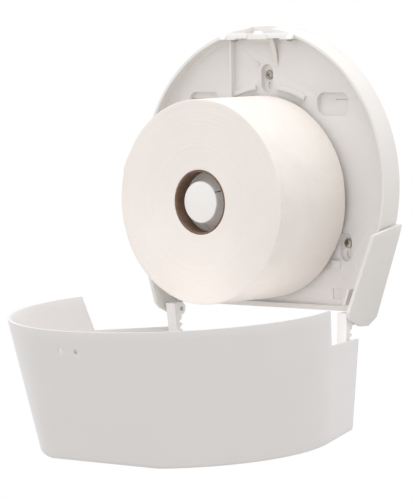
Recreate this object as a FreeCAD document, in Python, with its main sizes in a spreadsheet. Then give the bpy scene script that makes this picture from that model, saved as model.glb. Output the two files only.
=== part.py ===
import FreeCAD, Part
import math
import os
import re
import Sketcher

# Jumbo toilet roll dispenser, wall mounted, shown with its cover hanging open.
# X runs to the right, -Y out of the wall into the room, +Z up. The wall is the plane Y = 0,
# and the roll's axis is the Y axis, so heights are counted from it.
# The cover group is drawn closed and then turned about the hinge line to its open stop.

SIZES = {
    "Whole cover": {
        "cover_radius": (156.2, "round top of the cover, outside, at the wall"),
        "cover_front_radius": (137.1, "round top of the cover, outside, at its front"),
        "cover_depth": (127.8, "from the wall to the front face"),
        "arc_height": (14.6, "centre of the round top above the roll axis, at the wall"),
        "front_arc_height": (5.6, "the same centre at the front"),
        "side_lean": (19.5, "degrees that the lower sides lean inwards"),
        "cover_bottom": (110.0, "lower edge of the cover below the roll axis"),
        "cover_wall": (2.8, "wall of the cover"),
        "wall_gap": (1.0, "gap between the closed cover and the wall"),
        "bend_height": (124.1, "height where the front face starts to lean back"),
        "bend_setback": (4.7, "how far the front face has leaned back at its top"),
        "key_hole_radius": (2.0, "holes for the two pins of the key"),
        "key_hole_spacing": (18.0, "between the two key holes"),
        "key_hole_depth": (19.6, "key holes' distance from the wall"),
        "front_round": (3.0, "rounding of the cover's front edge"),
    },
    "Hinge": {
        "hinge_out": (21.7, "hinge line's distance from the wall"),
        "hinge_drop": (111.1, "hinge line below the roll axis"),
        "open_angle": (92.8, "degrees that the cover opens"),
        "pin_radius": (2.0, "hinge pin"),
        "pin_end": (0.6, "how far the pin shows inside the arm"),
        "pin_skin": (2.5, "plastic left outside a pin's end in the cheek"),
        "running_clearance": (0.05, "radial, arm on pin"),
        "arm_gap": (0.6, "gap between an arm's round end and the cheek"),
        "arm_width": (11.0, "width of an arm"),
        "arm_boss_radius": (6.0, "round end of an arm"),
        "boss_proud": (0.4, "how far its faces stand out from the arm"),
        "arm_top": (9.8, "top of an arm above the hinge line"),
        "arm_run_in": (7.5, "how far an arm closes in towards the front"),
        "tooth_pitch": (6.0, "tear teeth along an arm"),
        "tooth_depth": (5.0, "height of a tear tooth"),
        "tooth_blunt": (0.4, "how much of a tooth's sharp tip is left off"),
        "tooth_tip_rise": (0.9, "tear teeth's tips above the hinge line"),
        "tab_width": (12.0, "screw tab of an arm"),
        "tab_wall": (2.5, "its thickness"),
        "boss_radius": (4.2, "screw boss inside the cover"),
        "boss_length": (8.0, "its height"),
    },
    "Back plate": {
        "base_radius": (149.4, "round top of the back plate, outside, at the wall"),
        "base_draft": (9.3, "degrees that its rim slopes"),
        "rim_depth": (19.6, "height of the rim from the wall"),
        "rim_wall": (2.7, "thickness of the rim at its front"),
        "base_bottom": (107.0, "lower edge below the roll axis"),
        "floor_front": (7.0, "front of the floor from the wall"),
        "floor_wall": (2.4, "thickness of the floor"),
        "edge_wall": (3.0, "wall left round the hollow back"),
        "low_rim_depth": (10.0, "height of the rim along the bottom"),
        "low_rim_height": (88.0, "where the low rim starts below the roll axis"),
        "seat_wall": (2.5, "plate under a wall screw"),
        "floor_round": (3.0, "rounding between floor and rim"),
        "pad_wall": (2.6, "solid wall round a recess in the floor"),
        "hub_pad_radius": (50.0, "solid pad behind the hub"),
        "bolt_circle_radius": (105.5, "wall screws from the middle of their circle"),
        "bolt_circle_height": (10.5, "middle of their circle above the roll axis"),
        "recess_half_width": (7.0, "screw recess"),
        "recess_above": (10.3, "screw recess above the screw"),
        "recess_below": (17.0, "screw recess below the screw"),
        "screw_hole_radius": (3.4, "hole for a wall screw"),
        "slot_start": (6.5, "adjusting slot's top below the screw"),
        "slot_end": (13.5, "adjusting slot's bottom below the screw"),
        "slot_half_width": (2.2, "adjusting slot"),
        "slot_skin": (1.0, "plastic left in an adjusting slot, to be knocked out"),
        "tray_pocket_across": (78.0, "middle of a side recess from the middle"),
        "tray_pocket_height": (88.5, "middle of a side recess above the roll axis"),
        "tray_pocket_width": (37.0, "side recess"),
        "tray_pocket_tall": (22.0, "side recess"),
        "tray_pocket_corner": (8.0, "side recess's corners"),
        "recess_groove_start": (0.4, "groove in a side recess, from the recess's middle outwards"),
        "recess_groove_length": (17.4, "its length"),
        "recess_groove_rise": (4.4, "its height above the recess's middle"),
        "recess_groove_tall": (1.0, "its width"),
        "recess_groove_cut": (1.2, "how deep it is"),
        "bump_across": (80.5, "block and dent on the floor, from the middle"),
        "bump_width": (10.0, "their width"),
        "bump_drop": (62.5, "block's middle below the roll axis"),
        "bump_tall": (8.0, "block's height"),
        "dent_drop": (90.0, "dent's middle below the roll axis"),
        "arc_rib_radius": (105.0, "curved ribs round the roll"),
        "arc_rib_wall": (4.6, "width of a curved rib"),
        "arc_rib_height": (2.2, "its height, and the block's"),
        "arc_rib_near": (7.0, "degrees from the top where a curved rib starts"),
        "arc_rib_far": (26.0, "degrees from the top where it ends"),
        "post_rib_across": (40.2, "upright rib from the middle"),
        "post_rib_wall": (2.8, "its width"),
        "post_rib_height": (6.0, "how far it stands out"),
        "side_rib_across": (112.0, "inner side rib at its top"),
        "side_rib_top": (83.0, "inner side rib's top below the roll axis"),
        "side_rib_bottom": (98.0, "inner side rib's foot below the roll axis"),
        "side_rib_depth": (30.0, "its height from the wall"),
        "side_rib_wall": (2.4, "its thickness"),
    },
    "Cheeks": {
        "cheek_top_rear": (22.8, "cheek's top below the roll axis, at the wall"),
        "cheek_top_front": (31.4, "cheek's top below the roll axis, at its front"),
        "cheek_top_depth": (33.9, "cheek's front from the wall, at its top"),
        "cheek_low_depth": (39.2, "cheek's front from the wall, at its front corner"),
        "cheek_low": (104.5, "cheek's front corner below the roll axis"),
        "cheek_bevel_depth": (34.5, "end of the bevel under that corner, from the wall"),
        "cheek_bevel_low": (110.0, "end of that bevel below the roll axis"),
        "cheek_ear_low": (118.6, "lowest point of the cheek below the roll axis"),
        "cheek_ear_round": (8.0, "rounding of its lower rear corner"),
        "cheek_wall_rear": (7.0, "cheek's thickness at the wall"),
        "cheek_wall_front": (3.0, "cheek's thickness at its front"),
        "notch_gap": (0.6, "gap between cheek and closed cover"),
    },
    "Roll and hub": {
        "roll_radius": (96.4, "paper roll"),
        "roll_width": (98.9, "paper roll"),
        "roll_rear": (12.6, "rear of the roll from the wall"),
        "roll_edge": (0.8, "rounding of the paper's edge"),
        "core_radius": (30.25, "cardboard core, outside"),
        "core_wall": (1.85, "wall of the core"),
        "core_clearance": (0.3, "gap between core and hub"),
        "hub_tip_radius": (19.5, "front disc of the hub"),
        "hub_edge": (1.4, "thickness of the disc's edge"),
        "hub_plug": (5.0, "length of its plug"),
        "hub_crown": (0.6, "how far the disc stands out in its middle"),
        "hub_flare_radius": (13.0, "hollow curve between disc and hub"),
        "hub_wall": (2.2, "wall of the hub"),
        "hub_inset": (1.0, "disc's edge behind the front of the roll"),
        "shoulder_radius": (36.0, "shoulder that the roll runs against"),
        "shoulder_wall": (2.5, "its thickness"),
        "seat_gap": (0.3, "gap between roll and shoulder"),
        "flange_radius": (46.0, "foot of the hub"),
        "flange_wall": (2.0, "its thickness"),
        "hub_slit": (1.2, "width of the slits between the hub's three wings"),
        "hub_slit_length": (38.0, "slits' length from the front"),
        "hub_slit_floor": (16.0, "radius where the slits end"),
        "hub_screw_circle": (40.5, "hub screws from the roll axis"),
    },
    "Lock": {
        "shelf_drop": (11.7, "underside of the shelf below the rim's top"),
        "window_half": (16.0, "window in the shelf for the latch"),
        "window_floor": (8.6, "rear of the window from the wall"),
        "window_under": (1.0, "bottom of the window below the latch head"),
        "head_half": (13.6, "latch head's half width"),
        "head_nose_half": (11.6, "half width of its front part"),
        "head_drop": (14.0, "underside of the latch head below the rim's top"),
        "head_tall": (5.0, "height of the latch head"),
        "head_rear": (10.6, "rear of the latch head from the wall"),
        "head_step": (16.0, "where the head narrows, from the wall"),
        "head_front": (22.2, "front of the latch head from the wall"),
        "tooth_half": (4.5, "latch tooth's half width"),
        "tooth_rear": (18.5, "rear of the latch tooth from the wall"),
        "tooth_front": (21.2, "front of the latch tooth from the wall"),
        "tooth_tall": (3.0, "latch tooth above the head"),
        "latch_travel": (4.0, "how far the key pushes the latch down"),
        "housing_half": (38.0, "housing's half width without its ramps"),
        "housing_wall": (1.5, "wall of the housing"),
        "housing_lift": (1.0, "underside of the housing above the latch head's"),
        "housing_tall": (5.2, "height of the housing"),
        "housing_strip": (2.4, "thickness of its side strips"),
        "ledge_inner": (27.2, "screw ledge under the shelf, inner end from the middle"),
        "ledge_outer": (38.5, "its outer end from the middle"),
        "ledge_rear": (10.0, "its rear from the wall"),
        "ledge_wall": (2.5, "its thickness"),
        "ledge_screw_across": (33.6, "its screw from the middle"),
        "ledge_screw_depth": (14.0, "its screw from the wall"),
        "ramp_inner": (37.2, "ramp that guides the closing cover, inner side from the middle"),
        "ramp_width": (6.0, "width of a ramp"),
        "ramp_out": (5.6, "how far its foot stands out from the rim"),
        "lip_reach": (1.7, "lips that hold the latch head back"),
        "slide_gap": (0.3, "gap round the sliding latch"),
        "leg_across": (8.8, "inner side of a spring leg from the middle"),
        "leg_width": (5.2, "width of a spring leg"),
        "leg_wall": (1.4, "its thickness"),
        "leg_rear": (7.4, "rear of its foot from the wall"),
        "leg_lean": (1.8, "how much further out its middle is than its foot"),
        "leg_curl": (4.4, "how much further out again its top is"),
        "leg_length": (22.5, "its foot below the latch head"),
        "leg_bridge": (2.2, "height of the bridge between the legs"),
        "leg_seat_tall": (2.6, "height of the stop under a leg"),
        "catch_half": (7.0, "cover's catch, half width"),
        "catch_lip_rear": (16.2, "rear of the catch's lip from the wall"),
        "catch_lip_wall": (2.0, "thickness of the lip"),
        "catch_wall": (2.2, "thickness of the catch"),
        "catch_over": (0.5, "catch above the latch tooth"),
        "catch_turn": (27.0, "where the catch steps up, from the wall"),
        "catch_front": (52.0, "front end of the catch from the wall"),
        "catch_rear_screw": (36.0, "catch's rear screw from the wall"),
        "catch_front_screw": (46.0, "catch's front screw from the wall"),
    },
    "Screws": {
        "wall_head_radius": (4.4, "wall screw's head"),
        "wall_head_tall": (2.6, "height of its head"),
        "wall_shank_radius": (2.2, "wall screw's shank"),
        "wall_shank_length": (31.0, "its length under the head"),
        "small_head_radius": (3.2, "assembly screw's head"),
        "small_head_tall": (2.0, "height of its head"),
        "small_shank_radius": (1.4, "assembly screw's shank"),
        "small_shank_length": (6.0, "its length under the head"),
        "cross_wall": (0.9, "width of a cross slot's arm"),
        "overrun": (2.0, "how far a cut runs past a face"),
    },
}

DOC = FreeCAD.newDocument("JumboRollDispenser")
SHEET = DOC.addObject("Spreadsheet::Sheet", "Sizes")
ALIASES = set()


def fill_sheet():
    """Writes one row per size: its word, its value in millimetres or degrees, and what it is."""
    row = 0
    for group, sizes in SIZES.items():
        row += 1
        SHEET.set(f"A{row}", group)
        for name, (value, meaning) in sizes.items():
            row += 1
            SHEET.set(f"A{row}", name)
            SHEET.set(f"B{row}", str(value))
            SHEET.setAlias(f"B{row}", name)
            SHEET.set(f"C{row}", meaning)
            ALIASES.add(name)
    DOC.recompute()


def bound(text):
    """The expression with each size's word pointed at the sheet."""
    return re.sub(r"[a-z_]+", lambda m: f"Sizes.{m[0]}" if m[0] in ALIASES else m[0], text)


def value(text):
    """The present value of an expression in the sheet's words."""
    result = SHEET.evalExpression(text)
    return float(getattr(result, "Value", result))


fill_sheet()


# Helpers for bodies, sketches and features


def new_body(label, several=False):
    body = DOC.addObject("PartDesign::Body", label)
    body.Label = label
    body.AllowCompound = several
    return body


def origin_plane(body, role):
    return next(f for f in body.Origin.OriginFeatures if f.Role == role)


def new_sketch(body, name, role, lift="0"):
    """A sketch on one of the body's own planes. On XZ_Plane a lift goes out into the room."""
    sketch = body.newObject("Sketcher::SketchObject", f"{body.Label}_{name}")
    sketch.AttachmentSupport = [(origin_plane(body, role), "")]
    sketch.MapMode = "FlatFace"
    if lift != "0":
        sketch.setExpression("AttachmentOffset.Base.z", bound(lift))
    return sketch


def hold(sketch, geometry, point, x=None, y=None):
    """Places a point of the sketch by expressions, or on an axis where the expression is 0."""
    for kind, text, axis in (("DistanceX", x, -2), ("DistanceY", y, -1)):
        if text is None:
            continue
        if text == "0":
            sketch.addConstraint(Sketcher.Constraint("PointOnObject", geometry, point, axis))
            continue
        number = sketch.addConstraint(Sketcher.Constraint(kind, -1, 1, geometry, point, value(text)))
        sketch.setExpression(f"Constraints[{number}]", bound(text))


def set_radius(sketch, geometry, radius):
    number = sketch.addConstraint(Sketcher.Constraint("Radius", geometry, value(radius)))
    sketch.setExpression(f"Constraints[{number}]", bound(radius))


def circle(sketch, x, y, radius):
    """A circle with its centre and radius bound to expressions."""
    centre = FreeCAD.Vector(value(x), value(y), 0)
    number = sketch.addGeometry(Part.Circle(centre, FreeCAD.Vector(0, 0, 1), value(radius)))
    hold(sketch, number, 3, x, y)
    set_radius(sketch, number, radius)


def outline(sketch, corners, arcs=None):
    """A closed outline through corners (x, y). arcs gives the edges that are round, by the corner
    that they start from, as (centre x, centre y, radius, +1 anticlockwise or -1 clockwise)."""
    arcs = arcs or {}
    points = [FreeCAD.Vector(value(x), value(y), 0) for x, y in corners]
    count = len(corners)
    first = sketch.GeometryCount
    for i in range(count):
        a, b = points[i], points[(i + 1) % count]
        if i not in arcs:
            sketch.addGeometry(Part.LineSegment(a, b))
            continue
        x, y, radius, way = arcs[i]
        centre = FreeCAD.Vector(value(x), value(y), 0)
        start, end = (a, b) if way > 0 else (b, a)
        angles = [math.atan2(p.y - centre.y, p.x - centre.x) for p in (start, end)]
        whole = Part.Circle(centre, FreeCAD.Vector(0, 0, 1), value(radius))
        geometry = sketch.addGeometry(Part.ArcOfCircle(whole, angles[0], angles[1]))
        hold(sketch, geometry, 3, x, y)
        set_radius(sketch, geometry, radius)
    for i in range(count):
        j = (i + 1) % count
        end_of_i = 1 if i in arcs and arcs[i][3] < 0 else 2
        start_of_j = 2 if j in arcs and arcs[j][3] < 0 else 1
        sketch.addConstraint(Sketcher.Constraint("Coincident", first + i, end_of_i, first + j, start_of_j))
        round_edge = arcs.get(i) or arcs.get(j)
        if round_edge is None:
            hold(sketch, first + j, start_of_j, *corners[j])
            continue
        across = points[j].x - value(round_edge[0])
        along = points[j].y - value(round_edge[1])
        if abs(across) > abs(along):
            hold(sketch, first + j, start_of_j, y=corners[j][1])
        else:
            hold(sketch, first + j, start_of_j, x=corners[j][0])


def rectangle(sketch, left, right, low, high):
    outline(sketch, [(left, low), (right, low), (right, high), (left, high)])


def upright_slot(sketch, x, low, high, half):
    """A slot with round ends, low and high being the middles of those ends."""
    corners = [(f"{x} + {half}", low), (f"{x} + {half}", high), (f"{x} - {half}", high), (f"{x} - {half}", low)]
    outline(sketch, corners, {1: (x, high, half, 1), 3: (x, low, half, 1)})


def dome(sketch, radius, centre, bottom, lean="side_lean * 1deg"):
    """Round top, two sides that lean in below their tangent points, and a flat bottom."""
    half = f"(({radius}) * cos({lean}))"
    foot = f"(({centre}) - ({radius}) * sin({lean}))"
    low = f"({half} - ({foot} + {bottom}) * tan({lean}))"
    corners = [(half, foot), (f"-{half}", foot), (f"-{low}", f"-({bottom})"), (low, f"-({bottom})")]
    outline(sketch, corners, {0: ("0", centre, radius, 1)})


def require(thing):
    """Stops at once where a step has failed."""
    if "Invalid" in thing.State or "Error" in thing.State or thing.Shape.isNull():
        raise RuntimeError(f"{thing.Name} failed: {thing.getStatusString()}")
    return thing


def pad(body, sketch, length, taper=None, midplane=False, reverse=False):
    DOC.recompute()
    feature = body.newObject("PartDesign::Pad", f"{sketch.Name}_pad")
    feature.Profile = sketch
    feature.setExpression("Length", bound(length))
    if taper:
        feature.setExpression("TaperAngle", bound(taper))
    if midplane:
        feature.Midplane = True
    feature.Reversed = reverse
    DOC.recompute()
    return require(feature)


def pocket(body, sketch, length=None, taper=None):
    """Cuts back towards the wall by a length, or through everything both ways."""
    DOC.recompute()
    before = body.Shape.Volume
    feature = body.newObject("PartDesign::Pocket", f"{sketch.Name}_pocket")
    feature.Profile = sketch
    if length is None:
        feature.Type = "ThroughAll"
        feature.Midplane = True
    else:
        feature.setExpression("Length", bound(length))
    if taper:
        feature.setExpression("TaperAngle", bound(taper))
    DOC.recompute()
    require(feature)
    if body.Shape.Volume >= before:
        raise RuntimeError(f"{feature.Name} cuts nothing")
    return feature


def turn(body, sketch):
    """Revolves a profile about the sketch's upright axis, which is the Y axis on XY_Plane."""
    DOC.recompute()
    feature = body.newObject("PartDesign::Revolution", f"{sketch.Name}_turned")
    feature.Profile = sketch
    feature.ReferenceAxis = (sketch, ["V_Axis"])
    feature.Angle = 360
    DOC.recompute()
    return require(feature)


def loft(body, sketches):
    DOC.recompute()
    feature = body.newObject("PartDesign::AdditiveLoft", f"{body.Label}_loft")
    feature.Profile = sketches[0]
    feature.Sections = sketches[1:]
    feature.Ruled = True
    DOC.recompute()
    return require(feature)


def mirror(body, features):
    """The same features on the other side of the middle."""
    feature = body.newObject("PartDesign::Mirrored", f"{features[0].Name}_mirrored")
    feature.Originals = features
    feature.MirrorPlane = (origin_plane(body, "YZ_Plane"), [""])
    body.Tip = feature
    DOC.recompute()
    return require(feature)


def polar(body, features, copies, role="Y_Axis"):
    feature = body.newObject("PartDesign::PolarPattern", f"{features[0].Name}_pattern")
    feature.Originals = features
    feature.Axis = (next(f for f in body.Origin.OriginFeatures if f.Role == role), [""])
    feature.Angle = 360
    feature.Occurrences = copies
    body.Tip = feature
    DOC.recompute()
    return require(feature)


def place(thing, x="0", y="0", z="0"):
    """Moves an object by expressions."""
    for axis, text in zip("xyz", (x, y, z)):
        thing.setExpression(f"Placement.Base.{axis}", bound(text))
    DOC.recompute()


def boolean(kind, label, *shapes):
    """A cut, common or fusion of finished objects."""
    result = DOC.addObject(f"Part::{kind}", label)
    result.Label = label
    if kind == "MultiFuse":
        result.Shapes = list(shapes)
    else:
        result.Base, result.Tool = shapes
    DOC.recompute()
    return require(result)


def round_edges(body, radius, chosen):
    """Rounds the edges of the body's tip that the test picks by their bounding boxes."""
    base = body.Tip
    names = [f"Edge{i + 1}" for i, e in enumerate(base.Shape.Edges) if chosen(e.BoundBox, e.Length)]
    feature = body.newObject("PartDesign::Fillet", f"{body.Label}_rounding")
    feature.Base = (base, names)
    feature.setExpression("Radius", bound(radius))
    DOC.recompute()
    return require(feature)


# Heights of the lock, all measured from the top of the tray's rim

RIM_TOP = "(arc_height + base_radius)"
SHELF_LOW = f"({RIM_TOP} - shelf_drop)"
HEAD_LOW = f"({RIM_TOP} - head_drop)"
HOUSING_LOW = f"({HEAD_LOW} + housing_lift)"
LEDGE_LOW = f"({SHELF_LOW} - ledge_wall)"
LEG_FOOT = f"({HEAD_LOW} - leg_length)"
CATCH_SEAT = f"({HEAD_LOW} + head_tall)"


# The cover's outside shape, from which the shell, its inside and the cheeks are cut

RUN_IN = "((cover_radius - cover_front_radius) / cover_depth)"
SINK = "((arc_height - front_arc_height) / cover_depth)"


def cover_radius_at(depth):
    return f"(cover_radius - {RUN_IN} * ({depth}))"


def cover_centre_at(depth):
    return f"(arc_height - {SINK} * ({depth}))"


def cover_block(label, rear, front, rear_skin, front_skin, bottom):
    """The cover's outside between two depths, made smaller by a skin at each end."""
    body = new_body(label)
    sections = []
    for name, depth, skin in (("rear", rear, rear_skin), ("front", front, front_skin)):
        sketch = new_sketch(body, name, "XZ_Plane", depth)
        dome(sketch, f"{cover_radius_at(depth)} - ({skin})", cover_centre_at(depth), bottom)
        sections.append(sketch)
    loft(body, sections)
    return body


def side_at(depth, drop):
    """Half width over the straight sides at a depth, at a drop below the roll axis."""
    sunk = f"(({cover_centre_at(depth)} + ({drop})) * sin(side_lean * 1deg))"
    return f"(({cover_radius_at(depth)} - {sunk}) / cos(side_lean * 1deg))"


FACE_TOP = "(front_arc_height + cover_front_radius)"

# An arm runs just inside its cheek, whose inner face leans in towards the bottom

CHEEK_WALL = ("((cheek_wall_rear - (cheek_wall_rear - cheek_wall_front) * (hinge_out + overrun)"
              " / (cheek_low_depth + overrun * 3)) / cos(side_lean * 1deg))")
CHEEK_INSIDE = f"({side_at('hinge_out', 'hinge_drop + arm_boss_radius')} - {CHEEK_WALL})"
ARM_INNER = f"({CHEEK_INSIDE} - arm_gap - boss_proud - arm_width)"
PIN_FAR_END = f"({side_at('hinge_out', 'hinge_drop')} - pin_skin)"


def lean_back(body, skin):
    """Cuts the top of the front face back along the bend."""
    front = f"(cover_depth - {skin})"
    slope = f"(bend_setback / ({FACE_TOP} - bend_height))"
    sketch = new_sketch(body, "bend", "YZ_Plane")
    top = f"({FACE_TOP} + overrun * overrun)"
    corners = [(f"-{front} - overrun", "bend_height"), (f"-{front}", "bend_height"),
               (f"-{front} + {slope} * ({top} - bend_height)", top), (f"-{front} - overrun", top)]
    outline(sketch, corners)
    pocket(body, sketch)


# The side profile of the cheeks, and of the notches that the closed cover leaves for them

CHEEK_PROFILE = [("0", "-cheek_top_rear"), ("-cheek_top_depth", "-cheek_top_front"),
                 ("-cheek_low_depth", "-cheek_low"), ("-cheek_bevel_depth", "-cheek_bevel_low"),
                 ("-hinge_out + pin_radius * 3", "-cheek_ear_low"), ("-cheek_ear_round", "-cheek_ear_low"),
                 ("0", "-cheek_ear_low + cheek_ear_round")]

# A notch follows the cheek's top and front, with a gap, and runs out below the cover

FRONT_SLOPE = "((cheek_low_depth - cheek_top_depth) / (cheek_low - cheek_top_front))"
NOTCH_FRONT = f"(cheek_top_depth + {FRONT_SLOPE} * (cheek_ear_low - cheek_top_front) + notch_gap)"
NOTCH_PROFILE = [("notch_gap * 2", "-cheek_top_rear + notch_gap"),
                 ("-cheek_top_depth - notch_gap", "-cheek_top_front + notch_gap"),
                 (f"-{NOTCH_FRONT}", "-cheek_ear_low"), ("notch_gap * 2", "-cheek_ear_low")]


def side_prism(label, corners):
    """A side profile drawn out through the whole width."""
    body = new_body(label)
    sketch = new_sketch(body, "profile", "YZ_Plane")
    outline(sketch, corners)
    pad(body, sketch, "cover_radius * 2 + overrun", midplane=True)
    return body


# The back plate


def screw_places():
    """The three wall screws, at equal steps round their circle, the first at the top."""
    places = []
    for step in range(3):
        angle = f"({step} * 360deg / 3)"
        places.append((f"(bolt_circle_radius * sin({angle}))",
                       f"(bolt_circle_height + bolt_circle_radius * cos({angle}))"))
    return places


def side_recess(sketch, side, grow):
    """Rounded rectangle of a side recess, right for side 1 and left for side -1."""
    corner = f"(tray_pocket_corner + {grow})"
    across, up = "(tray_pocket_width / 2 - tray_pocket_corner)", "(tray_pocket_tall / 2 - tray_pocket_corner)"
    left, right = f"({side} * tray_pocket_across - {across})", f"({side} * tray_pocket_across + {across})"
    low, high = f"(tray_pocket_height - {up})", f"(tray_pocket_height + {up})"
    corners = [(right, f"{low} - {corner}"), (f"{right} + {corner}", low), (f"{right} + {corner}", high),
               (right, f"{high} + {corner}"), (left, f"{high} + {corner}"), (f"{left} - {corner}", high),
               (f"{left} - {corner}", low), (left, f"{low} - {corner}")]
    outline(sketch, corners, {0: (right, low, corner, 1), 2: (right, high, corner, 1),
                              4: (left, high, corner, 1), 6: (left, low, corner, 1)})


def tray():
    """Floor and rim, hollow at the back, with screw seats, recesses, ribs and the latch's shelf."""
    body = new_body("tray")
    rear = new_sketch(body, "outside", "XZ_Plane")
    dome(rear, "base_radius", "arc_height", "base_bottom")
    pad(body, rear, "rim_depth", "-base_draft")

    inside = new_sketch(body, "inside", "XZ_Plane", "rim_depth")
    shrink = "(rim_depth * tan(base_draft * 1deg))"
    dome(inside, f"base_radius - {shrink} - rim_wall", "arc_height", f"base_bottom - {shrink} - rim_wall")
    pocket(body, inside, "rim_depth - floor_front")
    front_of_floor = -value("floor_front")
    round_edges(body, "floor_round", lambda box, length: abs(box.YMin - front_of_floor) < 1e-3
                and abs(box.YMax - front_of_floor) < 1e-3)

    low = new_sketch(body, "low_rim", "YZ_Plane")
    rectangle(low, "-rim_depth - overrun", "-low_rim_depth", "-base_bottom - overrun", "-low_rim_height")
    pocket(body, low)

    hollow = new_sketch(body, "hollow_back", "XZ_Plane", "floor_front - floor_wall")
    dome(hollow, "base_radius - edge_wall * 2", "arc_height", "base_bottom - edge_wall * 2")
    circle(hollow, "0", "0", "hub_pad_radius")
    for x, z in screw_places():
        upright_slot(hollow, x, f"({z} - recess_below + recess_half_width)",
                     f"({z} + recess_above - recess_half_width)", "(recess_half_width + pad_wall)")
    for side in (1, -1):
        side_recess(hollow, side, "pad_wall")
    pocket(body, hollow, "floor_front - floor_wall")

    for number, (x, z) in enumerate(screw_places()):
        recess = new_sketch(body, f"recess_{number}", "XZ_Plane", "floor_front + overrun")
        upright_slot(recess, x, f"{z} - recess_below + recess_half_width",
                     f"{z} + recess_above - recess_half_width", "recess_half_width")
        pocket(body, recess, "floor_front + overrun - seat_wall")
        hole = new_sketch(body, f"hole_{number}", "XZ_Plane", "seat_wall + overrun")
        circle(hole, x, z, "screw_hole_radius")
        pocket(body, hole, "seat_wall + overrun * 2")
        slot = new_sketch(body, f"slot_{number}", "XZ_Plane", "seat_wall + overrun")
        upright_slot(slot, x, f"{z} - slot_end + slot_half_width", f"{z} - slot_start - slot_half_width",
                     "slot_half_width")
        pocket(body, slot, "seat_wall - slot_skin + overrun")

    recess = new_sketch(body, "side_recess", "XZ_Plane", "floor_front + overrun")
    side_recess(recess, 1, "0")
    mirror(body, [pocket(body, recess, "floor_front + overrun - floor_wall")])

    groove = new_sketch(body, "recess_groove", "XZ_Plane", "floor_wall + overrun")
    start, height = "(tray_pocket_across + recess_groove_start)", "(tray_pocket_height + recess_groove_rise)"
    rectangle(groove, start, f"{start} + recess_groove_length", f"{height} - recess_groove_tall / 2",
              f"{height} + recess_groove_tall / 2")
    mirror(body, [pocket(body, groove, "recess_groove_cut + overrun")])

    bump = new_sketch(body, "floor_bump", "XZ_Plane", "floor_front")
    rectangle(bump, "bump_across - bump_width / 2", "bump_across + bump_width / 2",
              "-bump_drop - bump_tall / 2", "-bump_drop + bump_tall / 2")
    mirror(body, [pad(body, bump, "arc_rib_height")])
    dent = new_sketch(body, "floor_dent", "XZ_Plane", "floor_front + overrun")
    rectangle(dent, "bump_across - bump_width / 2", "bump_across + bump_width / 2",
              "-dent_drop - bump_width / 2", "-dent_drop + bump_width / 2")
    mirror(body, [pocket(body, dent, "floor_wall / 2 + overrun")])

    rib = new_sketch(body, "arc_rib", "XZ_Plane", "floor_front")
    inner, outer = "(arc_rib_radius - arc_rib_wall / 2)", "(arc_rib_radius + arc_rib_wall / 2)"
    near, far = "(arc_rib_near * 1deg)", "(arc_rib_far * 1deg)"
    corners = [(f"{outer} * sin({far})", f"{outer} * cos({far})"), (f"{outer} * sin({near})", f"{outer} * cos({near})"),
               (f"{inner} * sin({near})", f"{inner} * cos({near})"), (f"{inner} * sin({far})", f"{inner} * cos({far})")]
    outline(rib, corners, {0: ("0", "0", outer, 1), 2: ("0", "0", inner, -1)})
    mirror(body, [pad(body, rib, "arc_rib_height")])

    post = new_sketch(body, "post_rib", "XZ_Plane", "floor_front")
    rectangle(post, "-post_rib_across - post_rib_wall / 2", "-post_rib_across + post_rib_wall / 2",
              f"{inner} * cos({far})", f"{SHELF_LOW} + overrun")
    pad(body, post, "post_rib_height")

    side = new_sketch(body, "side_rib", "XZ_Plane", "floor_front - floor_wall")
    fall = "((side_rib_bottom - side_rib_top) * tan(side_lean * 1deg))"
    corners = [("side_rib_across", "-side_rib_top"), ("side_rib_across - side_rib_wall", "-side_rib_top"),
               (f"side_rib_across - side_rib_wall - {fall}", "-side_rib_bottom"),
               (f"side_rib_across - {fall}", "-side_rib_bottom")]
    outline(side, corners)
    mirror(body, [pad(body, side, "side_rib_depth - floor_front + floor_wall")])

    shelf = new_sketch(body, "shelf", "XZ_Plane", "floor_front")
    arc = f"(base_radius - {shrink} - rim_wall / 2)"
    half = f"sqrt({arc} * {arc} - ({SHELF_LOW} - arc_height) * ({SHELF_LOW} - arc_height))"
    outline(shelf, [(half, SHELF_LOW), (f"-{half}", SHELF_LOW)], {0: ("0", "arc_height", arc, 1)})
    pad(body, shelf, "rim_depth - floor_front")

    window = new_sketch(body, "window", "XZ_Plane", "rim_depth + overrun")
    rectangle(window, "-window_half", "window_half", f"{HEAD_LOW} - window_under", f"{RIM_TOP} + overrun")
    pocket(body, window, "rim_depth + overrun - window_floor")

    seat = new_sketch(body, "leg_seat", "XZ_Plane", "floor_front")
    rectangle(seat, "leg_across", "leg_across + leg_width", f"{LEG_FOOT} - leg_seat_tall", LEG_FOOT)
    mirror(body, [pad(body, seat, "leg_rear + leg_wall - floor_front")])

    screws = new_sketch(body, "pilot", "XZ_Plane", "floor_front + overrun")
    for step in range(3):
        angle = f"({step} * 360deg / 3)"
        circle(screws, f"hub_screw_circle * sin({angle})", f"hub_screw_circle * cos({angle})", "small_shank_radius")
    pocket(body, screws, "small_shank_length - flange_wall + overrun")
    pilots = new_sketch(body, "housing_pilot", "XY_Plane", f"{LEDGE_LOW} + small_shank_length")
    circle(pilots, "ledge_screw_across", "-ledge_screw_depth", "small_shank_radius")
    mirror(body, [pocket(body, pilots, "small_shank_length - ledge_wall + overrun / 2")])
    return body


def back_plate():
    """The tray with its two cheeks, one moulding."""
    reach = "(cheek_low_depth + overrun)"
    outer = cover_block("cheek_outside", "0", reach, "0", "0", "cheek_ear_low + overrun")
    inner = cover_block("cheek_inside", "-overrun", f"({reach} + overrun)", "cheek_wall_rear",
                        "cheek_wall_front", "cheek_ear_low + overrun * 2")
    ring = boolean("Cut", "cheek_ring", outer, inner)
    cheeks = boolean("Common", "cheeks", ring, side_prism("cheek_prism", CHEEK_PROFILE))
    whole = boolean("MultiFuse", "moulding", tray(), cheeks)
    pins = pin_tools("pin_seat", "pin_radius")
    return boolean("Cut", "back_plate", whole, pins)


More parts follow.
